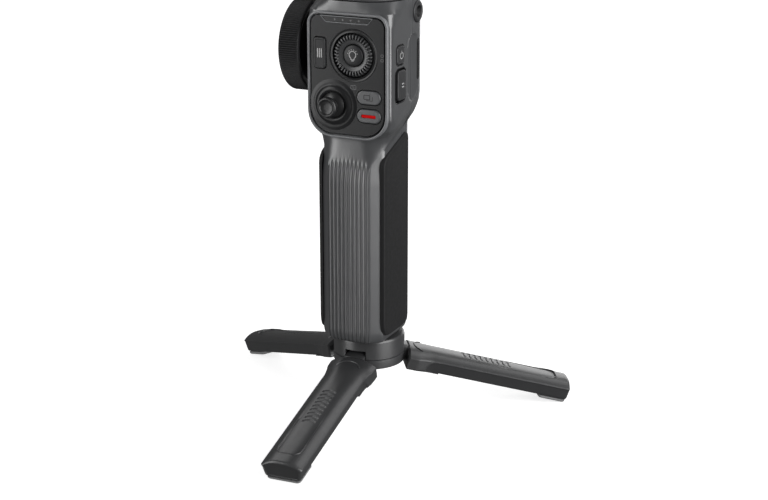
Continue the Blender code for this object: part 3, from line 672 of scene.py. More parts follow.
def neck_half(row, z):
    """Between grip and head: the bevel beside the ribs runs up as a flat strip, and the head
    flares out over it from a crease that rises from the ribs' corner to above the pad. It gives
    the outline and the ribbed face's half width."""
    front = row[0]
    grip, edge = front_path(front, GRIP_HALF, 0.0, 0.0)
    head, _ = front_path(front, HEAD_LOW_HALF, 1.0, 1.0)
    made = []
    for (gx, gy), (hx, hy) in zip(grip, head):
        side = clamp((gx - RIBBED_HALF) / 5.7)
        start = FLARE_FROM_EDGE + (FLARE_FROM_SIDE - FLARE_FROM_EDGE) * side
        t = clamp((z - start) / (FLARE_TOP - start))
        made.append((gx + (hx - gx) * t, gy + (hy - gy) * t))
    soft = smooth((z - 117.0) / 5.0)
    crisp = 2.2 * smooth((128.0 - z) / 4.0)
    spans = [soft * (SMEAR - crisp * smooth((gx - RIBBED_HALF) / 4.0)) if gy < SMEAR_TO_Y else 0.0
             for gx, gy in grip]
    return smeared(made, spans), edge


def front_half(row, z):
    """Dense right half of the front casing's outline at one height."""
    front, half, share, cut, _, _ = row
    if z < FLARE_TOP:
        dense, edge = neck_half(row, z)
    else:
        dense, edge = front_path(front, half, share, cut)
        settle = 1.0 - smooth((z - 138.0) / 6.0)
        dense = smeared(dense, [SMEAR * settle if y < SMEAR_TO_Y else 0.0 for _, y in dense])
    made = []
    bow = RIB_BOW * (1 - smooth((z - 108.0) / 12.0))
    for x, y in dense:
        y -= bow * max(0.0, 1 - (x / edge) ** 2)
        if x < edge + 0.5 and z < RIBS_TO:
            y += rib_height(x * RIBBED_HALF / edge, z) * (1 - smooth((x / edge - 0.95) / 0.07))
        made.append((x, y))
    if z > HEAD_ROUND_FROM - HEAD_ROUND_LEAD:
        return rounded_corner(made, half, front, head_round(z))
    return made


def back_corner(half, back, r, steps):
    """The section's rear corner and the flat behind it up to the back centre."""
    return arc(half - r, back - r, r, 0, 90, steps) + [((half - r) * (1 - i / 6), back)
                                                       for i in range(1, 7)]


def rear_half(row):
    """Dense right half of the rear casing's outline at one height."""
    front, half, share, cut, _, _ = row
    _, back, r = half_outline(front, half, share, cut)
    made = [(half, SEAM_Y + SEAM_GAP + (back - r - SEAM_Y - SEAM_GAP) * i / 14) for i in range(14)]
    return made + back_corner(half, back, r, 10)


def pulled_in(points, depth, half, front, back):
    """Draw an outline in towards its middle, so that flats move by the depth."""
    middle, reach = (front + back) / 2, (back - front) / 2
    return [(x * (half - depth) / half, middle + (y - middle) * (reach - depth) / reach)
            for x, y in points]


def casing_ring(z, part):
    """One closed C-shaped section of the front or of the rear casing."""
    row = between(BODY_RINGS, z)
    front, half, share, cut, slant, inset = row
    _, back, _ = half_outline(front, half, share, cut)
    full = front_half(row, z) if part == "front" else rear_half(row)
    outer = pulled_in(full, inset, half, front, back)
    inner = pulled_in(full, inset + WALL, half, front, back)
    seam = SEAM_Y if part == "front" else SEAM_Y + SEAM_GAP
    end = -1 if part == "front" else 0
    outer[end], inner[end] = (outer[end][0], seam), (inner[end][0], seam)

    def lift(x, y):
        return (x, y, z + slant * SLANT * (y + 22.0))

    def scooped(x, y):
        point = lift(x, y)
        return (x - (scoop_depth(y, point[2]) if x > half - 0.4 else 0.0), y, point[2])

    right = [scooped(x, y) for x, y in outer]
    left = [lift(-x, y) for x, y in outer]
    right_in = [lift(x, y) for x, y in inner]
    left_in = [lift(-x, y) for x, y in inner]
    if part == "front":
        return left[:0:-1] + right + right_in[:0:-1] + left_in
    return left + right[-2::-1] + right_in + left_in[-2::-1]


def spaced(start, end, step):
    count = max(1, round((end - start) / step))
    return [start + (end - start) * i / count for i in range(count)]


def casing_heights():
    """Heights of the casing's sections, closer together where the shape changes."""
    bottom, top = BODY_RINGS[0][0], BODY_RINGS[-1][0]
    made = [bottom + CURL * (1 - math.cos(math.pi / 2 * i / 14)) for i in range(14)]
    for start, end, step in ((bottom + CURL, 100.0, 6.0), (100.0, 114.0, 1.0), (114.0, 135.0, 0.5),
                             (135.0, 150.0, 1.0), (150.0, 192.0, 0.8), (192.0, top, 3.0)):
        made += spaced(start, end, step)
    return made + [top]


# the two heights and the axis of the cuts through a wall
THROUGH_PANEL = (-27, -21, "Y")
THROUGH_RIGHT = (20, 30, "X")
THROUGH_BACK = (12, 26, "Y")


def make_casings():
    heights = casing_heights()
    wheel = middle_mm("handwheel_axle")
    power, function = middle_mm("power_button"), middle_mm("function_button")
    front = skin([casing_ring(z, "front") for z in heights])
    cuts = [
        prism(panel_outline(0.3), -30, -20.5, "Y"),
        prism(circle(wheel[1], wheel[2], 4.6), -30, -20, "X"),
        prism(rounded(power[1], power[2], 4.8, 5.2, 2.4), *THROUGH_RIGHT),
        prism(rounded(function[1], function[2], 6.4, 9.0, 3.0), *THROUGH_RIGHT),
    ]
    piece("front_casing", front, GREY, "grip", "front_shell", 32, cuts)
    socket = middle_mm("accessory_socket")
    rear = skin([casing_ring(z, "rear") for z in heights])
    cuts = [
        prism(rounded(0, middle_mm("trigger")[2], 7.8, 17.0, 2.0), *THROUGH_BACK),
        prism(circle(socket[1], socket[2], 6.0), *THROUGH_RIGHT),
        prism(rounded(0, middle_mm("usb_port")[2], 4.9, 2.0, 1.9), *THROUGH_BACK),
    ]
    piece("rear_casing", rear, GREY, "grip", "rear_shell", 32, cuts)


# ---------------------------------------------------------------- grip pads
def pad_outline():
    low, high = low_mm("grip_pad_right"), high_mm("grip_pad_right")
    near, far, bottom = low[1] - 0.4, high[1], low[2]

    def top(y):
        return 121.0 + 0.33 * (y + 21.0)

    corners = [(near, 27.0), (near + 1.8, bottom + 1.4), (near + 6.0, bottom), (far - 5.0, bottom),
               (far - 1.2, bottom + 1.2), (far, bottom + 4.5), (far, top(far) - 3.0),
               (far - 2.5, top(far - 2.5)), (near + 3.6, top(near + 3.6)), (near, top(near) - 3.0)]
    return soften(corners, [4.0, 2.5, 3.0, 2.5, 2.0, 2.0, 2.5, 2.0, 2.6, 3.0], 4)


def make_pads():
    outline = pad_outline()
    for name, side in (("right", 1), ("left", -1)):
        levels = [(17.2, 0), (17.9, -0.05), (18.9, -0.35), (19.2, -0.55), (19.4, -0.9), (19.52, -1.5),
                  (19.58, -2.3), (19.6, -3.2)]
        bm = tower(outline, [(side * x, out) for x, out in levels], "X")
        piece(f"pad_{name}", bm, RUBBER, "grip", f"grip_pad_{name}", 40)


# ---------------------------------------------------------------- control panel
def panel_outline(grow):
    low, high = low_mm("control_panel"), high_mm("control_panel")
    radii = (5.0 + grow, 5.0 + grow, 12.0 + grow, 12.0 + grow)
    return rounded((low[0] + high[0]) / 2, (low[2] + high[2]) / 2, (high[0] - low[0]) / 2 + grow,
                   (high[2] - low[2]) / 2 + grow, radii, 12)


def window_outline(grow):
    top = high_mm("control_panel")[2]
    corners = [(-15.2 - grow * 1.6, top - 0.4 + grow), (-12.4 - grow * 0.4, top - 3.4 - grow),
               (11.6 + grow * 0.4, top - 3.4 - grow), (14.2 + grow * 1.6, top - 0.4 + grow)]
    return soften(corners, [0.5, 0.9, 0.9, 0.5], 3)


def centre_of(node):
    """Centre of a control on the panel, as (x, z)."""
    x, _, z = middle_mm(node)
    return x, z


def make_panel():
    front = low_mm("control_panel")[1]
    plate = tower(panel_outline(0), edge_levels(-23.0, front, 0.45), "Y")
    openings = [
        circle(*centre_of("dial_wheel"), 13.3, 96),
        circle(*centre_of("joystick_bezel"), 10.9, 96),
        rounded(*centre_of("menu_button"), 3.75, 8.55, 1.9),
        rounded(*centre_of("mode_button"), 7.25, 4.05, 4.0, 10),
        rounded(*centre_of("record_button"), 7.25, 4.05, 4.0, 10),
    ]
    cuts = [prism(outline, *THROUGH_PANEL) for outline in openings]
    cuts.append(prism(window_outline(0.3), -26, -24.2, "Y"))
    piece("panel_plate", plate, PANEL, "grip", "control_panel", 30, cuts)
    levels = [(2.0, -20.5), (2.0, -25.2), (1.9, -25.5), (1.65, -25.72), (1.3, -25.8), (1.0, -25.78),
              (0.8, -25.66), (0.68, -25.4), (0.55, -20.5)]
    rings = [[(x, y, z) for x, z in panel_outline(out)] for out, y in levels]
    piece("panel_rim", skin(rings, ends=False), TRIM, "grip", "panel_frame", 40)
    levels = [(0.28, -24.4), (0.28, front - 0.12), (0.05, front - 0.2), (-0.12, front - 0.12),
              (-0.2, -24.4)]
    rings = [[(x, y, z) for x, z in window_outline(out)] for out, y in levels]
    piece("window_rim", skin(rings, ends=False), TRIM, "grip", None, 40)
    lens = tower(window_outline(-0.25), edge_levels(-24.45, front + 0.1, 0.15, 2), "Y")
    piece("window_lens", lens, GLOSS, "grip", "status_window")
    marks = bmesh.new()
    top = high_mm("control_panel")[2]
    for k in range(4):
        dot(-7.2 + 4.6 * k, top - 1.9, 0.5, "Y", front + 0.14, front + 0.06, marks)
    piece("window_marks", marks, SOFT_WHITE, "grip", None)


DIAL_TEETH = 36


def make_dial():
    x, z = centre_of("dial_wheel")
    front = low_mm("dial_wheel")[1]
    bezel = [(11.75, -25.2), (12.0, -25.45), (12.4, -25.4), (12.7, -25.25), (13.2, -25.25),
             (13.5, -25.5), (13.75, -25.5), (14.0, -25.2), (14.0, -24.9), (13.25, -24.9),
             (13.2, -22.8), (11.75, -22.8)]
    piece("dial_ring", turned(bezel, (x, 0, z), "Y", 128), PANEL, "grip", "dial_bezel",
          45)

    def teeth(turn, r, h):
        if not 8.2 < r < 11.2 or h > front + 2.4:
            return r, h
        stand = smooth((math.cos(DIAL_TEETH * turn) + 0.15) / 0.5)
        return r, h + 1.6 * (1 - stand) * smooth((r - 8.2) / 0.4)

    wheel = [(5.9, -24.6), (6.2, -24.95), (7.0, -25.2), (7.6, -25.3), (8.1, -25.45), (8.35, -25.7),
             (8.7, -25.88), (9.3, -25.9), (10.0, -25.88), (10.6, -25.75), (10.85, -25.4),
             (10.95, -24.6), (11.3, -24.2), (11.45, -23.8), (11.45, -20.7), (5.9, -20.7)]
    piece("dial_teeth_wheel", turned(wheel, (x, 0, z), "Y", DIAL_TEETH * 12, wave=teeth), DIAL_SATIN,
          "dial", "dial_wheel", 50)
    slopes = [math.radians(t) for t in range(12, 91, 6)]
    dome = [(0, -26.0)] + [(5.5 * math.sin(t), -24.9 - 1.1 * math.cos(t) ** 0.6) for t in slopes]
    dome += [(5.5, -21.0), (0, -21.0)]
    piece("dial_dome", turned(dome, (x, 0, z), "Y", 72), DARK, "dial_key", "dial_button", 60)
    make_dial_icons(x, z, front)


def make_dial_icons(x, z, front):
    """The lamp on the dial's button, and the four marks round the dial."""
    icon = bmesh.new()
    line = partial(stroke, axis="Y", low=-25.9, high=-26.1, into=icon)
    line(arc(x, z + 0.5, 1.9, -58, 238, 28), 0.3)
    for side in (-1, 1):
        line([(x + side * 1.0, z - 1.12), (x + side * 0.85, z - 1.9)], 0.3)
    for half, down in ((0.95, 2.05), (0.6, 2.6)):
        line([(x - half, z - down), (x + half, z - down)], 0.3)
    for inner, outer in zip(arc(x, z + 0.5, 2.5, 15, 165, 5), arc(x, z + 0.5, 2.95, 15, 165, 5)):
        line([inner, outer], 0.28)
    piece("lamp_icon", icon, WHITE, "dial_key", None)
    marks = bmesh.new()
    line = partial(stroke, axis="Y", low=front + 0.9, high=front + 0.72, into=marks)
    top, bottom, left, right = z + 16.6, z - 16.6, x - 16.4, x + 16.5
    line([(x - 1.3, top + 0.6), (x - 0.5, top - 0.7), (x, top + 0.2), (x + 0.5, top - 0.7),
          (x + 1.3, top + 0.6)], 0.32)
    line(rounded(x, bottom, 1.5, 0.95, 0.3, 3), 0.28, closed=True)
    line([(x - 0.35, bottom - 0.45), (x + 0.5, bottom), (x - 0.35, bottom + 0.45)], 0.3, closed=True)
    for k in (-1.6, 0.0, 1.6):
        line([(left - 0.5, z + k), (left + 0.5, z + k)], 0.4)
    line(circle(right, z + 1.1, 0.75, 16), 0.26, closed=True)
    line(rounded(right, z - 1.3, 0.7, 0.6, 0.2, 3), 0.26, closed=True)
    piece("dial_marks", marks, SOFT_WHITE, "grip", None)


STICK_PIVOT = -18.0


def make_joystick():
    x, z = centre_of("joystick_bezel")
    ring = [(6.95, -25.6), (7.15, -26.2), (7.7, -26.52), (8.3, -26.6), (9.0, -26.48), (9.7, -26.1),
            (10.3, -25.6), (10.75, -25.35), (11.4, -25.45), (12.1, -25.4), (12.9, -25.22),
            (13.6, -25.1), (13.6, -24.9), (10.9, -24.9), (10.8, -23.2), (8.9, -23.2), (7.4, -25.0)]
    piece("stick_ring", turned(ring, (x, 0, z), "Y", 128), PANEL, "grip", "joystick_bezel",
          50)
    at = (x, STICK_PIVOT, z)
    inner = [(r, -h) for h, r in arc(0, 0, 9.2, 19, 64, 9)]
    outer = [(r, -h) for h, r in arc(0, 0, 10.1, 65, 20, 9)]
    dome = [(0, 3.0), (3.0, 3.0)] + inner + outer + [(3.2, -12.0), (3.2, -13.2), (0, -13.2)]
    piece("stick_dome", turned(dome, at, "Y", 72), STICK, "stick", "joystick_stick",
          50)
    cap = round_profile([(0, -13.5), (3.5, -13.5), (3.5, -12.3), (4.7, -12.3), (5.3, -13.2),
                         (5.5, -15.0), (5.0, -15.9), (4.3, -16.0), (3.9, -15.75), (3.5, -15.25),
                         (1.8, -14.95), (0, -14.9)], 0.35)

    def knurl(turn, r, h):
        return (r - 0.12 * (0.5 + 0.5 * math.cos(40 * turn)), h) if r > 5.2 else (r, h)

    piece("stick_cap", turned(cap, at, "Y", 240, wave=knurl), STICK, "stick", "joystick_cap",
          50)


KEY_FRONT, KEY_BACK = -26.0, -20.9


def make_panel_keys():
    x, z = centre_of("menu_button")
    levels = edge_levels(KEY_BACK, KEY_FRONT, 0.4) + [(KEY_FRONT, -0.95), (-25.86, -1.15), (-25.8, -1.3)]
    piece("menu_key_top", tower(rounded(x, z, 3.3, 8.1, 1.6), levels, "Y"), DARK, "menu_key",
          "menu_button")
    bars = bmesh.new()
    for k in (-1.1, 0.0, 1.1):
        stroke([(x + k, z - 2.4), (x + k, z + 2.4)], 0.42, "Y", -25.7, -25.92, bars)
    piece("menu_icon", bars, WHITE, "menu_key", None)
    levels = edge_levels(KEY_BACK, KEY_FRONT, 0.75)
    x, z = centre_of("mode_button")
    piece("mode_key_top", tower(rounded(x, z, 6.8, 3.6, 3.55, 12), levels, "Y"), KEY, "mode_key",
          "mode_button", 45)
    icon = bmesh.new()
    line = partial(stroke, width=0.36, axis="Y", low=-25.9, high=-26.04, into=icon)
    line(rounded(x - 0.9, z + 0.35, 1.7, 1.1, 0.35, 3), closed=True)
    line([(x - 1.2, z - 1.35), (x + 2.3, z - 1.35), (x + 2.3, z + 0.75)])
    piece("mode_icon", icon, GLOSS, "mode_key", None)
    x, z = centre_of("record_button")
    cuts = [prism(rounded(x, z, 4.2, 0.95, 0.6), -27, -25.5, "Y")]
    piece("record_key_top", tower(rounded(x, z, 6.8, 3.6, 3.55, 12), levels, "Y"), KEY,
          "record_key", "record_button", 45, cuts)
    bar = tower(rounded(x, z, 4.0, 0.75, 0.5), edge_levels(-25.6, -26.04, 0.2, 2), "Y")
    piece("record_bar", bar, RED, "record_key", "record_mark", 50)


# ---------------------------------------------------------------- right side of the head
def rim_around(name, node, half_y, half_z, radius):
    """The rounded lip of a key's recess, proud of the shell by a hair, in black gloss as painted shade for
    the dark gap round the key.
    """
    _, y, z = middle_mm(node)
    side = high_mm("front_shell")[0]
    rings = []
    for out, proud in ((0.55, -1.2), (0.55, 0.02), (0.3, 0.1), (0.05, 0.02), (-0.15, -0.35), (-0.2, -2.5)):
        outline = rounded(y, z, half_y + out, half_z + out, radius + out, 8)
        rings.append([(side + proud, u, v) for u, v in outline])
    # black gloss lip: painted shade standing in for the shadowed gap round the key
    piece(name, skin(rings, ends=False), GLOSS, "grip", None, 45)


def make_side_keys():
    rim_around("power_recess", "power_button", 4.75, 5.15, 2.35)
    rim_around("function_recess", "function_button", 6.3, 8.9, 2.95)
    _, y, z = middle_mm("power_button")
    piece("power_key_top", tower(rounded(y, z, 4.4, 4.8, 2.0, 8), edge_levels(20.8, 24.9, 0.7), "X"),
          DARK, "power_key", "power_button", 45)
    icon = bmesh.new()
    line = partial(stroke, axis="X", low=24.8, high=24.95, into=icon)
    line(arc(y + 0.6, z - 0.15, 1.75, 125, 415, 26), 0.32)
    line([(y + 0.6, z + 0.5), (y + 0.6, z + 2.2)], 0.34)
    piece("power_icon", icon, WHITE, "power_key", None)
    _, y, z = middle_mm("function_button")
    top = tower(rounded(y + 0.6, z, 4.9, 7.9, 2.3, 8), edge_levels(20.8, 25.2, 0.8), "X")
    piece("function_key_top", top, DARK, "function_key", "function_button", 45)
    icon = bmesh.new()
    for dy, dz in ((-0.8, 0.8), (0.8, 0.8), (-0.8, -0.8), (0.8, -0.8)):
        dot(y + 1.4 + dy, z + dz, 0.38, "X", 25.1, 25.25, icon)
    piece("function_icon", icon, WHITE, "function_key", None)


def make_socket():
    _, y, z = middle_mm("accessory_socket")
    bore = []
    for k in range(6):
        bore += [(3.15, 25.0 - 0.5 * k), (3.45, 24.75 - 0.5 * k)]
    profile = [(3.4, 25.25), (4.2, 25.3), (5.1, 25.2), (5.6, 24.8), (5.75, 24.3), (5.75, 20.6),
               (0, 20.6), (0, 21.8), (3.1, 21.8)] + bore[::-1]
    piece("socket_ring", turned(profile, (0, y, z), "X", 72), DARK, "grip", "accessory_socket",
          40)


def make_side_insert():
    _, y, z = middle_mm("side_insert")
    y += 1.0
    plate = tower(rounded(y, z, 1.0, 11.0, 0.9, 6), edge_levels(22.8, 24.6, 0.2), "X")
    for k in range(16):
        rib_z = z - 9.0 + 1.2 * k
        stroke([(y - 0.6, rib_z), (y + 0.6, rib_z)], 0.55, "X", 24.4, 24.85, plate)
    piece("side_strip", plate, WHEEL, "grip", "side_insert", 40)


# ---------------------------------------------------------------- handwheel
WHEEL_RIBS = 132


def make_handwheel():
    _, y, z = middle_mm("handwheel_tyre")
    low, high = low_mm("handwheel_tyre"), high_mm("handwheel_tyre")
    radius, near, far = (high[2] - low[2]) / 2, high[0], low[0]

    def ribs(turn, r, h):
        if r < radius - 1.4:
            return r, h
        env = smooth((near - h) / 1.0) * smooth((h - far) / 1.0)
        return r - 0.6 * env * (0.5 + 0.5 * math.cos(WHEEL_RIBS * turn)) ** 1.3, h

    profile = [(21.7, near - 0.3), (23.2, near), (24.2, near - 0.02), (24.75, near - 0.35),
               (25.0, near - 0.9), (25.0, near - 2.0), (25.0, near - 4.0), (25.0, near - 7.0),
               (25.0, far + 2.0), (25.0, far + 0.9), (24.75, far + 0.35), (24.2, far + 0.02),
               (23.0, far), (21.7, far + 0.4)]
    profile = [(min(r, radius), h) for r, h in profile]
    piece("wheel_tyre", turned(profile, (0, y, z), "X", WHEEL_RIBS * 6, wave=ribs), WHEEL,
          "handwheel", "handwheel_tyre", 60)
    disc = [(4.4, -28.4), (11.5, -28.4), (12.2, -28.6), (13.0, -29.1), (19.2, -30.95), (19.9, -30.9),
            (20.4, -30.3), (20.9, -29.9), (21.35, -29.9), (21.45, -30.2), (21.45, -39.0),
            (21.0, -39.25), (20.4, -39.1), (19.8, -38.6), (19.0, -38.35), (17.4, -38.3),
            (17.1, -38.0), (16.7, -37.9), (8.0, -38.2), (7.6, -38.45), (7.0, -38.45), (6.6, -38.2),
            (2.0, -38.1), (0, -38.05), (0, -37.3), (4.4, -37.3)]
    piece("wheel_disc", turned(disc, (0, y, z), "X", 128), DARK, "handwheel", "handwheel_disc",
          40)
    axle = round_profile([(0, -37.0), (4.0, -37.0), (4.0, -28.0), (15.0, -27.8), (16.5, -27.0),
                          (16.5, -24.8), (4.2, -24.8), (4.2, -15.0), (0, -15.0)], 0.5)
    piece("wheel_flange", turned(axle, (0, y, z), "X", 96), DARK, "grip", "handwheel_axle",
          40)


# ---------------------------------------------------------------- tripod
LEG_ANGLES = {"front": -87.8, "right": 32.2, "left": 152.2}
LEG_PIVOT_R = 14.0
LEG_PIVOT_Z = 5.35
LEG_SLOPE = 14.8
LEG_HALF = 11.7
PIN_HALF = 5.6  # half width of the leg's hinge knuckle
FOLDED_GAP = 0.3  # kept between neighbouring legs when all three are folded
LEG_BASE, LEG_SHOULDER, LEG_CREST = -6.8, 0.3, 4.2
FACET_FROM, FACET_FULL = 18.0, 26.0
INSET_END, INSET_HALF = 94.0, 6.6
GRIP_BARS = [39.0 + 3.3 * k for k in range(9)]

# distance from the pin, half width, underside, shoulder, crest
LEG_ROWS = [(6.8, 12.8, LEG_BASE, -0.3, 3.8)]
LEG_ROWS += [(u, half, LEG_BASE, LEG_SHOULDER, LEG_CREST)
             for u, half in ((7.8, 13.5), (12.5, 13.4), (16.5, 12.4), (22.0, LEG_HALF), (60.0, LEG_HALF),
                             (100.0, LEG_HALF))]


def tripod_frame(angle):
    """Local (along, across, up) of a leg at its pin to the row frame."""
    turn = Matrix.Rotation(math.radians(angle), 4, "Z")
    move = Matrix.Translation((LEG_PIVOT_R, 0, LEG_PIVOT_Z))
    slope = Matrix.Rotation(math.radians(LEG_SLOPE), 4, "Y")
    return turn @ move @ slope


def moved(bm, matrix):
    bmesh.ops.transform(bm, matrix=matrix, verts=bm.verts)
    return bm


def arch(w, half, shoulder, crest):
    return shoulder + (crest - shoulder) * (1 - min(1.0, abs(w) / half) ** 2.8)


def top_relief(u, w):
    """Depth of the shallow inset along the crest and of the grip bars in it."""
    end = INSET_END - 3.0 * (max(0.0, abs(w) - 3.6) / 3.0) ** 2
    inside = (1 - smooth((abs(w) - INSET_HALF + 0.5) / 0.6)) * (1 - smooth((u - end + 0.5) / 0.6))
    depth = 0.55 * smooth((u - 46.0) / 40.0) * inside
    for bar in GRIP_BARS:
        across = 1 - smooth((abs(w) - 3.3) / 0.4)
        along = 1 - smooth((abs(u - bar - 0.25 * abs(w)) - 0.55) / 0.35)
        depth += 0.4 * across * along
    return depth


def side_relief(u, v, low, shoulder):
    """How far the side is cut in below the ledge that runs along the leg."""
    t = clamp((FACET_FULL - u) / (FACET_FULL - FACET_FROM))
    top = shoulder - 0.15 - 5.2 * (1 - math.sqrt(max(0.0, 1 - t * t)))
    if u < FACET_FROM or v > top:
        return 0.0
    return 0.35 * smooth((top - v) / 0.5) + 1.5 * (top - v) / (shoulder - low)


def leg_ring(u, half, low, shoulder, crest, relief=True, shrink=0.0):
    """One cross-section of a leg: from the underside up the right side, over the crest and down."""
    points = [(half - 1.1 - (1.85 if relief and u > FACET_FULL else 0.0), low),
              (half - 0.3, low + 0.3), (half, low + 1.1)]
    points = [(min(w, math.sqrt(3) * (LEG_PIVOT_R + v) - FOLDED_GAP), v) for w, v in points]
    points += [(half, low + 1.1 + (shoulder - 0.25 - low - 1.1) * i / 14) for i in range(1, 15)]
    points.append((half - 0.06, shoulder))
    corner = len(points)
    across = [(half - 0.35) * (1 - i / 26) for i in range(27)]
    points += [(w, arch(w, half, shoulder, crest)) for w in across]
    middle, deep = (low + crest) / 2, crest - low
    row = []
    for k, (w, v) in enumerate(points):
        if relief and 0 < k < corner:
            row.append((w - side_relief(u, v, low, shoulder), v))
        elif relief and k > corner:
            row.append((w, v - top_relief(u, w)))
        else:
            row.append((w, v))
    row = [(w * (half - shrink) / half, (v - middle) * (deep - 2 * shrink) / deep + middle)
           for w, v in row]
    return [(u, w, v) for w, v in row] + [(u, -w, v) for w, v in row[-2::-1]]


def leg_rings():
    """Sections along a leg: the knuckle on the pin, the leg itself, and the rounded end."""
    knuckle = ((-3.9, 5.2, -1.8, 0.6, 1.8), (-3.5, PIN_HALF, -2.6, 1.6, 2.6),
               (-2.6, PIN_HALF, -3.6, 2.6, 3.4), (-1.3, PIN_HALF, -4.1, 3.2, 4.0),
               (0.0, PIN_HALF, -4.3, 3.6, 4.3), (6.5, PIN_HALF, -4.3, 3.6, 4.3))
    rings = [leg_ring(*row, relief=False) for row in knuckle]
    stations = [6.8, 7.0, 7.3, 7.8, 8.6]
    for start, end, step in ((9.6, 16.0, 0.8), (16.0, 28.0, 0.4), (28.0, 37.0, 1.5), (37.0, 68.0, 0.3),
                             (68.0, 88.0, 1.2), (88.0, 97.0, 0.25)):
        stations += spaced(start, end, step)
    for u in stations + [97.0, 99.0, 100.2]:
        row = between(LEG_ROWS, u)
        corner = max(0.0, 1 - (u - 6.8) / 0.9)
        rings.append(leg_ring(u, *row, shrink=0.7 * (1 - math.sqrt(max(0.0, 1 - corner * corner)))))
    last = LEG_ROWS[-1][1:]
    for u, shrink in ((100.9, 0.06), (101.4, 0.3), (101.8, 0.7), (102.0, 1.2), (102.0, 1.35),
                      (101.8, 1.5), (101.75, 2.1)):
        rings.append(leg_ring(u, *last, shrink=shrink))
    return rings


def crest_bead(into):
    """The raised crescent before the hinge, and the U-shaped lip at the end of the inset."""
    crescent = [(17.0 - 6.4 * c, 7.4 * s) for c, s in arc(0, 0, 1, -72, 72, 20)]
    tube([(u, w, arch(w, 13.4, LEG_SHOULDER, LEG_CREST) + 0.02) for u, w in crescent], 0.42, into)
    lip = [(84.0 + i * 1.1, -6.75) for i in range(6)] + arc(90.0, -2.55, 4.2, -90, 0, 10)
    lip += [(u, -w) for u, w in reversed(lip)]
    tube([(u, w, arch(w, LEG_HALF, LEG_SHOULDER, LEG_CREST) - 0.28 + 0.34 * smooth((u - 84.0) / 6.0))
          for u, w in lip], 0.34, into)


def make_leg(side):
    place = tripod_frame(LEG_ANGLES[side])
    body = skin(leg_rings())
    bore = tower(circle(0, 0, 1.7, 32), [(-9, 0), (9, 0)], "Y")
    piece(f"tripod_leg_{side}", moved(body, place), CHARCOAL, f"leg_{side}", f"leg_{side}",
          24, [moved(bore, place)])
    beads = bmesh.new()
    crest_bead(beads)
    piece(f"leg_beads_{side}", moved(beads, place), CHARCOAL, f"leg_{side}", None, 50)
    pad = tower(rounded(93.6, 0, 8.0, 9.6, 2.2, 5),
                [(-7.0, 0), (-7.9, 0), (-8.3, -0.3), (-8.6, -0.8), (-8.75, -1.4)], "Z")
    for k in range(5):
        stroke([(88.8 + 2.4 * k, -6.4), (88.8 + 2.4 * k, 6.4)], 0.7, "Z", -8.6, -8.75, pad)
    piece(f"foot_{side}", moved(pad, place), FOOT, f"leg_{side}", f"foot_pad_{side}",
          40)
    pin = round_profile([(0, -8.6), (1.5, -8.6), (1.5, 8.6), (0, 8.6)], 0.3)
    piece(f"hinge_pin_{side}", moved(turned(pin, (0, 0, 0), "Y", 32), place), STEEL, "grip",
          f"leg_pin_{side}", 40)


def hub_cuts():
    """The slot and the pin channel of each leg."""
    cuts = []
    for angle in LEG_ANGLES.values():
        turn = Matrix.Rotation(math.radians(angle), 4, "Z")
        slot = tower(rounded(16.3, 0, 7.7, 6.1, 0.6, 3), [(-2.0, 0), (10.8, 0)], "Z")
        cuts.append(moved(slot, turn))
        channel = tower(circle(0, 0, 1.65, 24), [(-8.9, 0), (8.9, 0)], "Y")
        cuts.append(moved(channel, tripod_frame(angle)))
    return cuts


def make_hub():
    radius = high_mm("hub_upper")[0]
    low, high = low_mm("hub_upper")[2], high_mm("hub_upper")[2]
    crown = [(0, low), (radius - 0.25, low), (radius, low + 0.3), (radius, high - 1.4),
             (radius - 0.15, high - 0.8), (radius - 0.6, high - 0.25), (radius - 1.3, high),
             (3.4, high), (3.4, 9.2), (0, 9.2)]
    high = high_mm("hub_lower")[2]
    base = [(0, 0), (radius - 1.0, 0), (radius - 0.3, 0.3), (radius, 1.0), (radius, high - 0.3),
            (radius - 0.25, high), (0, high)]
    for name, node, profile in (("hub_crown", "hub_upper", crown), ("hub_base_ring", "hub_lower", base)):
        piece(name, turned(profile, (0, 0, 0), "Z", 144), CHARCOAL, "grip", node, 30,
              hub_cuts())


# ---------------------------------------------------------------- motors and arms
HOUSING_FRONT, HOUSING_HALF = -24.0, 24.2
NECK_LOW, NECK_HIGH = 204.8, 213.4
PAN_R = 19.6


def make_pan_housing():
    """The head's section at the bottom, closing in to the round pan motor."""
    low, high = low_mm("pan_housing")[2], high_mm("pan_housing")[2]
    motor_y = middle_mm("pan_rotor")[1]
    keys, back, r = half_outline(HOUSING_FRONT, HOUSING_HALF, 1.0)
    keys = soften(keys[:-1] + [(HOUSING_HALF, SEAM_Y)], [0, 0, 1.2, 0.8, 1.4, 0], 3, closed=False)
    right = refine_path(keys, [10, 4] + [1] * 11 + [8])
    right = rounded_corner(right, HOUSING_HALF, HOUSING_FRONT, HEAD_ROUND_R)
    right += back_corner(HOUSING_HALF, back, r, 12)
    base = [(-x, y) for x, y in right[:0:-1]] + right[:-1]
    rings = []
    for k in range(29):
        z = low + (NECK_HIGH - low) * k / 28
        t = smooth((z - NECK_LOW) / (NECK_HIGH - NECK_LOW))
        size = 1 - 0.5 * max(0.0, 1 - (z - low) / 0.8) ** 2 / 24
        ring = []
        for x, y in base:
            turn = math.atan2(y - motor_y, x)
            ring.append((x * size + (PAN_R * math.cos(turn) - x) * t,
                         y * size + (motor_y + PAN_R * math.sin(turn) - y) * t, z))
        rings.append(ring)
    top = rings[-1]
    for z, inset in ((216.2, 0), (216.4, 0.3), (216.9, 0.3), (217.1, 0), (high - 0.5, 0),
                     (high - 0.1, 0.15), (high, 0.5)):
        size = 1 - inset / PAN_R
        rings.append([(x * size, motor_y + (y - motor_y) * size, z) for x, y, _ in top])
    bore = tower(circle(0, motor_y, 5.4), [(208.0, 0), (224.0, 0)], "Z")
    piece("pan_motor_casing", skin(rings), GREY, "grip", "pan_housing", 35, [bore])


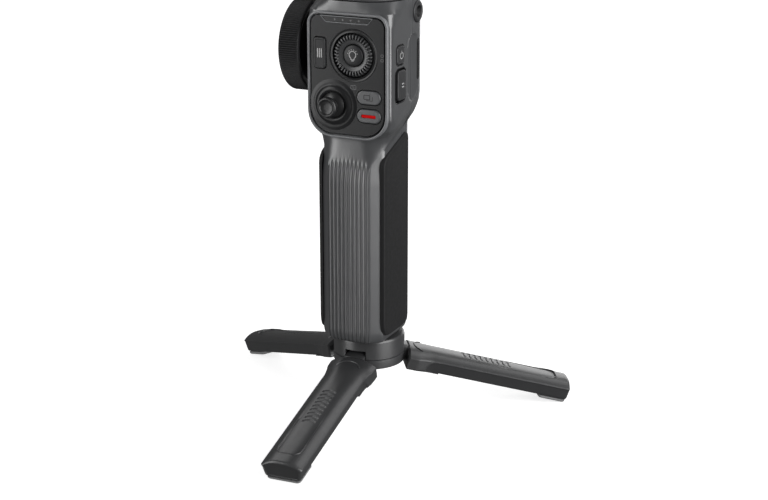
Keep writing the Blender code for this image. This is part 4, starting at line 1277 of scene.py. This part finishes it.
def motor_can(name, node, axis, inner, outer, bore_r, bore_end, body):
    """A round motor half from its open inner end to its closed outer end, with a groove round it
    and a sunk cap."""
    low, high, at = low_mm(node), high_mm(node), middle_mm(node)
    k = "XYZ".index(axis)
    radius = (high[(k + 1) % 3] - low[(k + 1) % 3]) / 2
    at[k] = 0
    side = 1 if outer > inner else -1
    cap, mid = radius - 3.5, (inner + outer) / 2
    profile = [(bore_r, inner), (radius - 0.4, inner), (radius, inner + side * 0.4),
               (radius, mid - side * 0.5), (radius - 0.35, mid - side * 0.3),
               (radius - 0.35, mid + side * 0.3), (radius, mid + side * 0.5),
               (radius, outer - side * 1.3), (radius - 0.4, outer - side * 0.5),
               (radius - 1.3, outer), (cap + 0.5, outer), (cap + 0.35, outer - side * 0.45),
               (cap, outer - side * 0.45), (cap - 0.15, outer - side * 0.1),
               (cap * 0.6, outer - side * 0.02), (0, outer), (0, bore_end), (bore_r, bore_end)]
    piece(name, turned(profile, at, axis, 96), GREY_UPPER, body, node, 30)


def turntable(body, profile, at, axis):
    """The half of a motor that turns with the body it drives."""
    piece(f"{body}_turntable", turned(profile, at, axis, 96), DARK, body, f"{body}_rotor",
          30)


def make_motors():
    pan_y, roll_z = middle_mm("pan_rotor")[1], middle_mm("roll_rotor")[2]
    _, tilt_y, tilt_z = middle_mm("tilt_rotor")
    pan = [(0, 209.0), (5.0, 209.0), (5.0, 222.4), (19.2, 222.4), (PAN_R, 222.8), (PAN_R, 224.6),
           (19.3, 224.8), (19.3, 225.4), (PAN_R, 225.6), (PAN_R, 227.8), (19.2, 228.6), (18.3, 229.0),
           (0, 229.0)]
    turntable("pan", pan, (0, pan_y, 0), "Z")
    motor_can("roll_motor_casing", "roll_housing", "Y", 51.0, 71.0, 4.8, 62.5, "pan")
    motor_can("tilt_motor_casing", "tilt_housing", "X", -34.0, -50.0, 4.6, -45.0, "roll")
    roll = [(0, 43.5), (16.6, 43.5), (17.0, 43.9), (17.0, 46.6), (16.7, 46.8), (16.7, 47.4),
            (17.0, 47.6), (17.0, 50.2), (16.6, 50.6), (4.5, 50.6), (4.5, 61.5), (0, 61.5)]
    turntable("roll", roll, (0, 0, roll_z), "Y")
    tilt = [(0, -28.0), (11.3, -28.0), (12.2, -28.5), (12.5, -29.2), (12.5, -33.2), (12.1, -33.6),
            (4.3, -33.6), (4.3, -44.0), (0, -44.0)]
    turntable("tilt", tilt, (0, tilt_y, tilt_z), "X")


def make_arms():
    refined("pan_arm_casting", "pan_arm", GREY_UPPER, "pan", 1.2, 4, 25)
    refined("roll_arm_casting", "roll_arm", GREY_UPPER, "roll", 1.2, 4, 25)
    refined("clamp_frame", "clamp_base", GREY_UPPER, "tilt", 0.5, 3)
    refined("lower_jaw_body", "lower_jaw", DARK, "tilt", 0.6, 3)
    refined("upper_jaw_body", "upper_jaw", DARK, "upper_jaw", 0.6, 3)
    refined("tongue_plate", "clamp_tongue", STEEL, "upper_jaw", 0.3, 2)
    for name, node, body, face in (("lower_jaw_grip", "lower_jaw_pad", "tilt", 1),
                                   ("upper_jaw_grip", "upper_jaw_pad", "upper_jaw", -1)):
        low, high = low_mm(node), high_mm(node)
        bottom, top = (low[2], high[2]) if face == 1 else (high[2], low[2])
        outline = rounded(0, (low[1] + high[1]) / 2, 12.0, (high[1] - low[1]) / 2, 1.0, 4)
        pad = tower(outline, edge_levels(bottom, top - face * 0.35, 0.3), "Z")
        for k in range(11):
            x = -10.0 + 2.0 * k
            stroke([(x, low[1] + 0.8), (x, high[1] - 0.8)], 0.9, "Z", top - face * 0.6, top, pad)
        piece(name, pad, RUBBER, body, node, 40)
    refined("trigger_lever", "trigger", DARK, "trigger", 0.7, 3, 25)


def make_small_parts():
    refined("port_shell", "usb_port", STEEL, "grip", 0.1, 1)
    inside = {"joystick_cup": ALLOY, "joystick_yoke": STEEL, "button_board": BOARD,
              "main_board": BOARD, "battery_cell": CELL, "base_cap": DARK, "trigger_pin": STEEL,
              "trigger_bracket": ALLOY, "tripod_screw": STEEL}
    for node, material in inside.items():
        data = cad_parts[node].data
        data.materials.clear()
        data.materials.append(material)


# ---------------------------------------------------------------- studio
FLOOR_GLOW = 0.75
AIR = 0.10
# name, azimuth from the front (positive to the object's right), height, distance, width, tall, power
SOFTBOXES = [
    ("left_front", -42, 0.35, 1.6, 0.8, 2.0, 13),
    ("right", 80, 0.45, 1.6, 1.5, 2.0, 34),
    ("back_left", -125, 1.3, 1.2, 0.8, 0.8, 2.4),
    ("back_right", 150, 1.3, 1.2, 0.8, 0.8, 2.8),
    ("rear", 185, 0.3, 1.9, 1.2, 1.4, 9),
]


def softbox(name, azimuth, height, distance, width, tall, power):
    """A softbox that faces the object's middle; lengths in metres."""
    light = bpy.data.lights.new(name, "AREA")
    light.shape = "RECTANGLE"
    light.size, light.size_y = width, tall
    light.energy = power
    obj = shown(name, light)
    turn = math.radians(azimuth)
    obj.location = (distance * math.sin(turn), -distance * math.cos(turn), height)
    aim = Vector((0.0, 0.0, 0.1)) - obj.location
    obj.rotation_euler = aim.to_track_quat("-Z", "Y").to_euler()


def floor_sheet():
    """A pale paper floor. It doesn't mirror in the object, which stands in the softboxes' light."""
    bm = bmesh.new()
    bmesh.ops.create_grid(bm, x_segments=24, y_segments=24, size=12000.0)
    for vert in bm.verts:
        vert.co.z = cad_low.z / MM - 0.02
    floor = shown("floor", mesh_of("floor", bm))
    n = Nodes("studio_floor")
    paper = n.noise(40.0, 3.0)
    colour = n.ramp(paper, (0.90, 0.90, 0.90), (0.93, 0.93, 0.93))
    fill(n.shader, Specular_IOR_Level=0.0, Emission_Color=(1, 1, 1, 1), Emission_Strength=FLOOR_GLOW)
    roughness, normal = n.spread(paper, 0.85, 0.95), n.bump(paper, 0.05, 0.2)
    floor.data.materials.append(n.finish(colour, roughness, normal))
    floor.visible_glossy = floor.visible_diffuse = floor.visible_shadow = False


def studio():
    floor_sheet()
    world = bpy.data.worlds.new("studio_air")
    world.use_nodes = True
    fill(world.node_tree.nodes["Background"], Color=(1, 1, 1, 1), Strength=AIR)
    scene.world = world
    for row in SOFTBOXES:
        softbox(*row)
    scene.view_settings.view_transform = "Standard"


def camera():
    """The photograph's viewpoint, solved from the three legs and the upright grip; metres."""
    data = bpy.data.cameras.new("photo_camera")
    data.lens, data.sensor_width = 82.5, 36.0
    data.clip_start, data.clip_end = 0.05, 50.0
    obj = shown("photo_camera", data)
    obj.location = (0.39922, -0.82907, 0.35035)
    obj.rotation_euler = (math.radians(90 - 17.349), 0.0, math.radians(25.198))
    scene.camera = obj


camera()
studio()
make_casings()
make_pads()
make_panel()
make_dial()
make_joystick()
make_panel_keys()
make_side_keys()
make_socket()
make_side_insert()
make_handwheel()
for leg_side in LEG_ANGLES:
    make_leg(leg_side)
make_hub()
make_pan_housing()
make_motors()
make_arms()
make_small_parts()
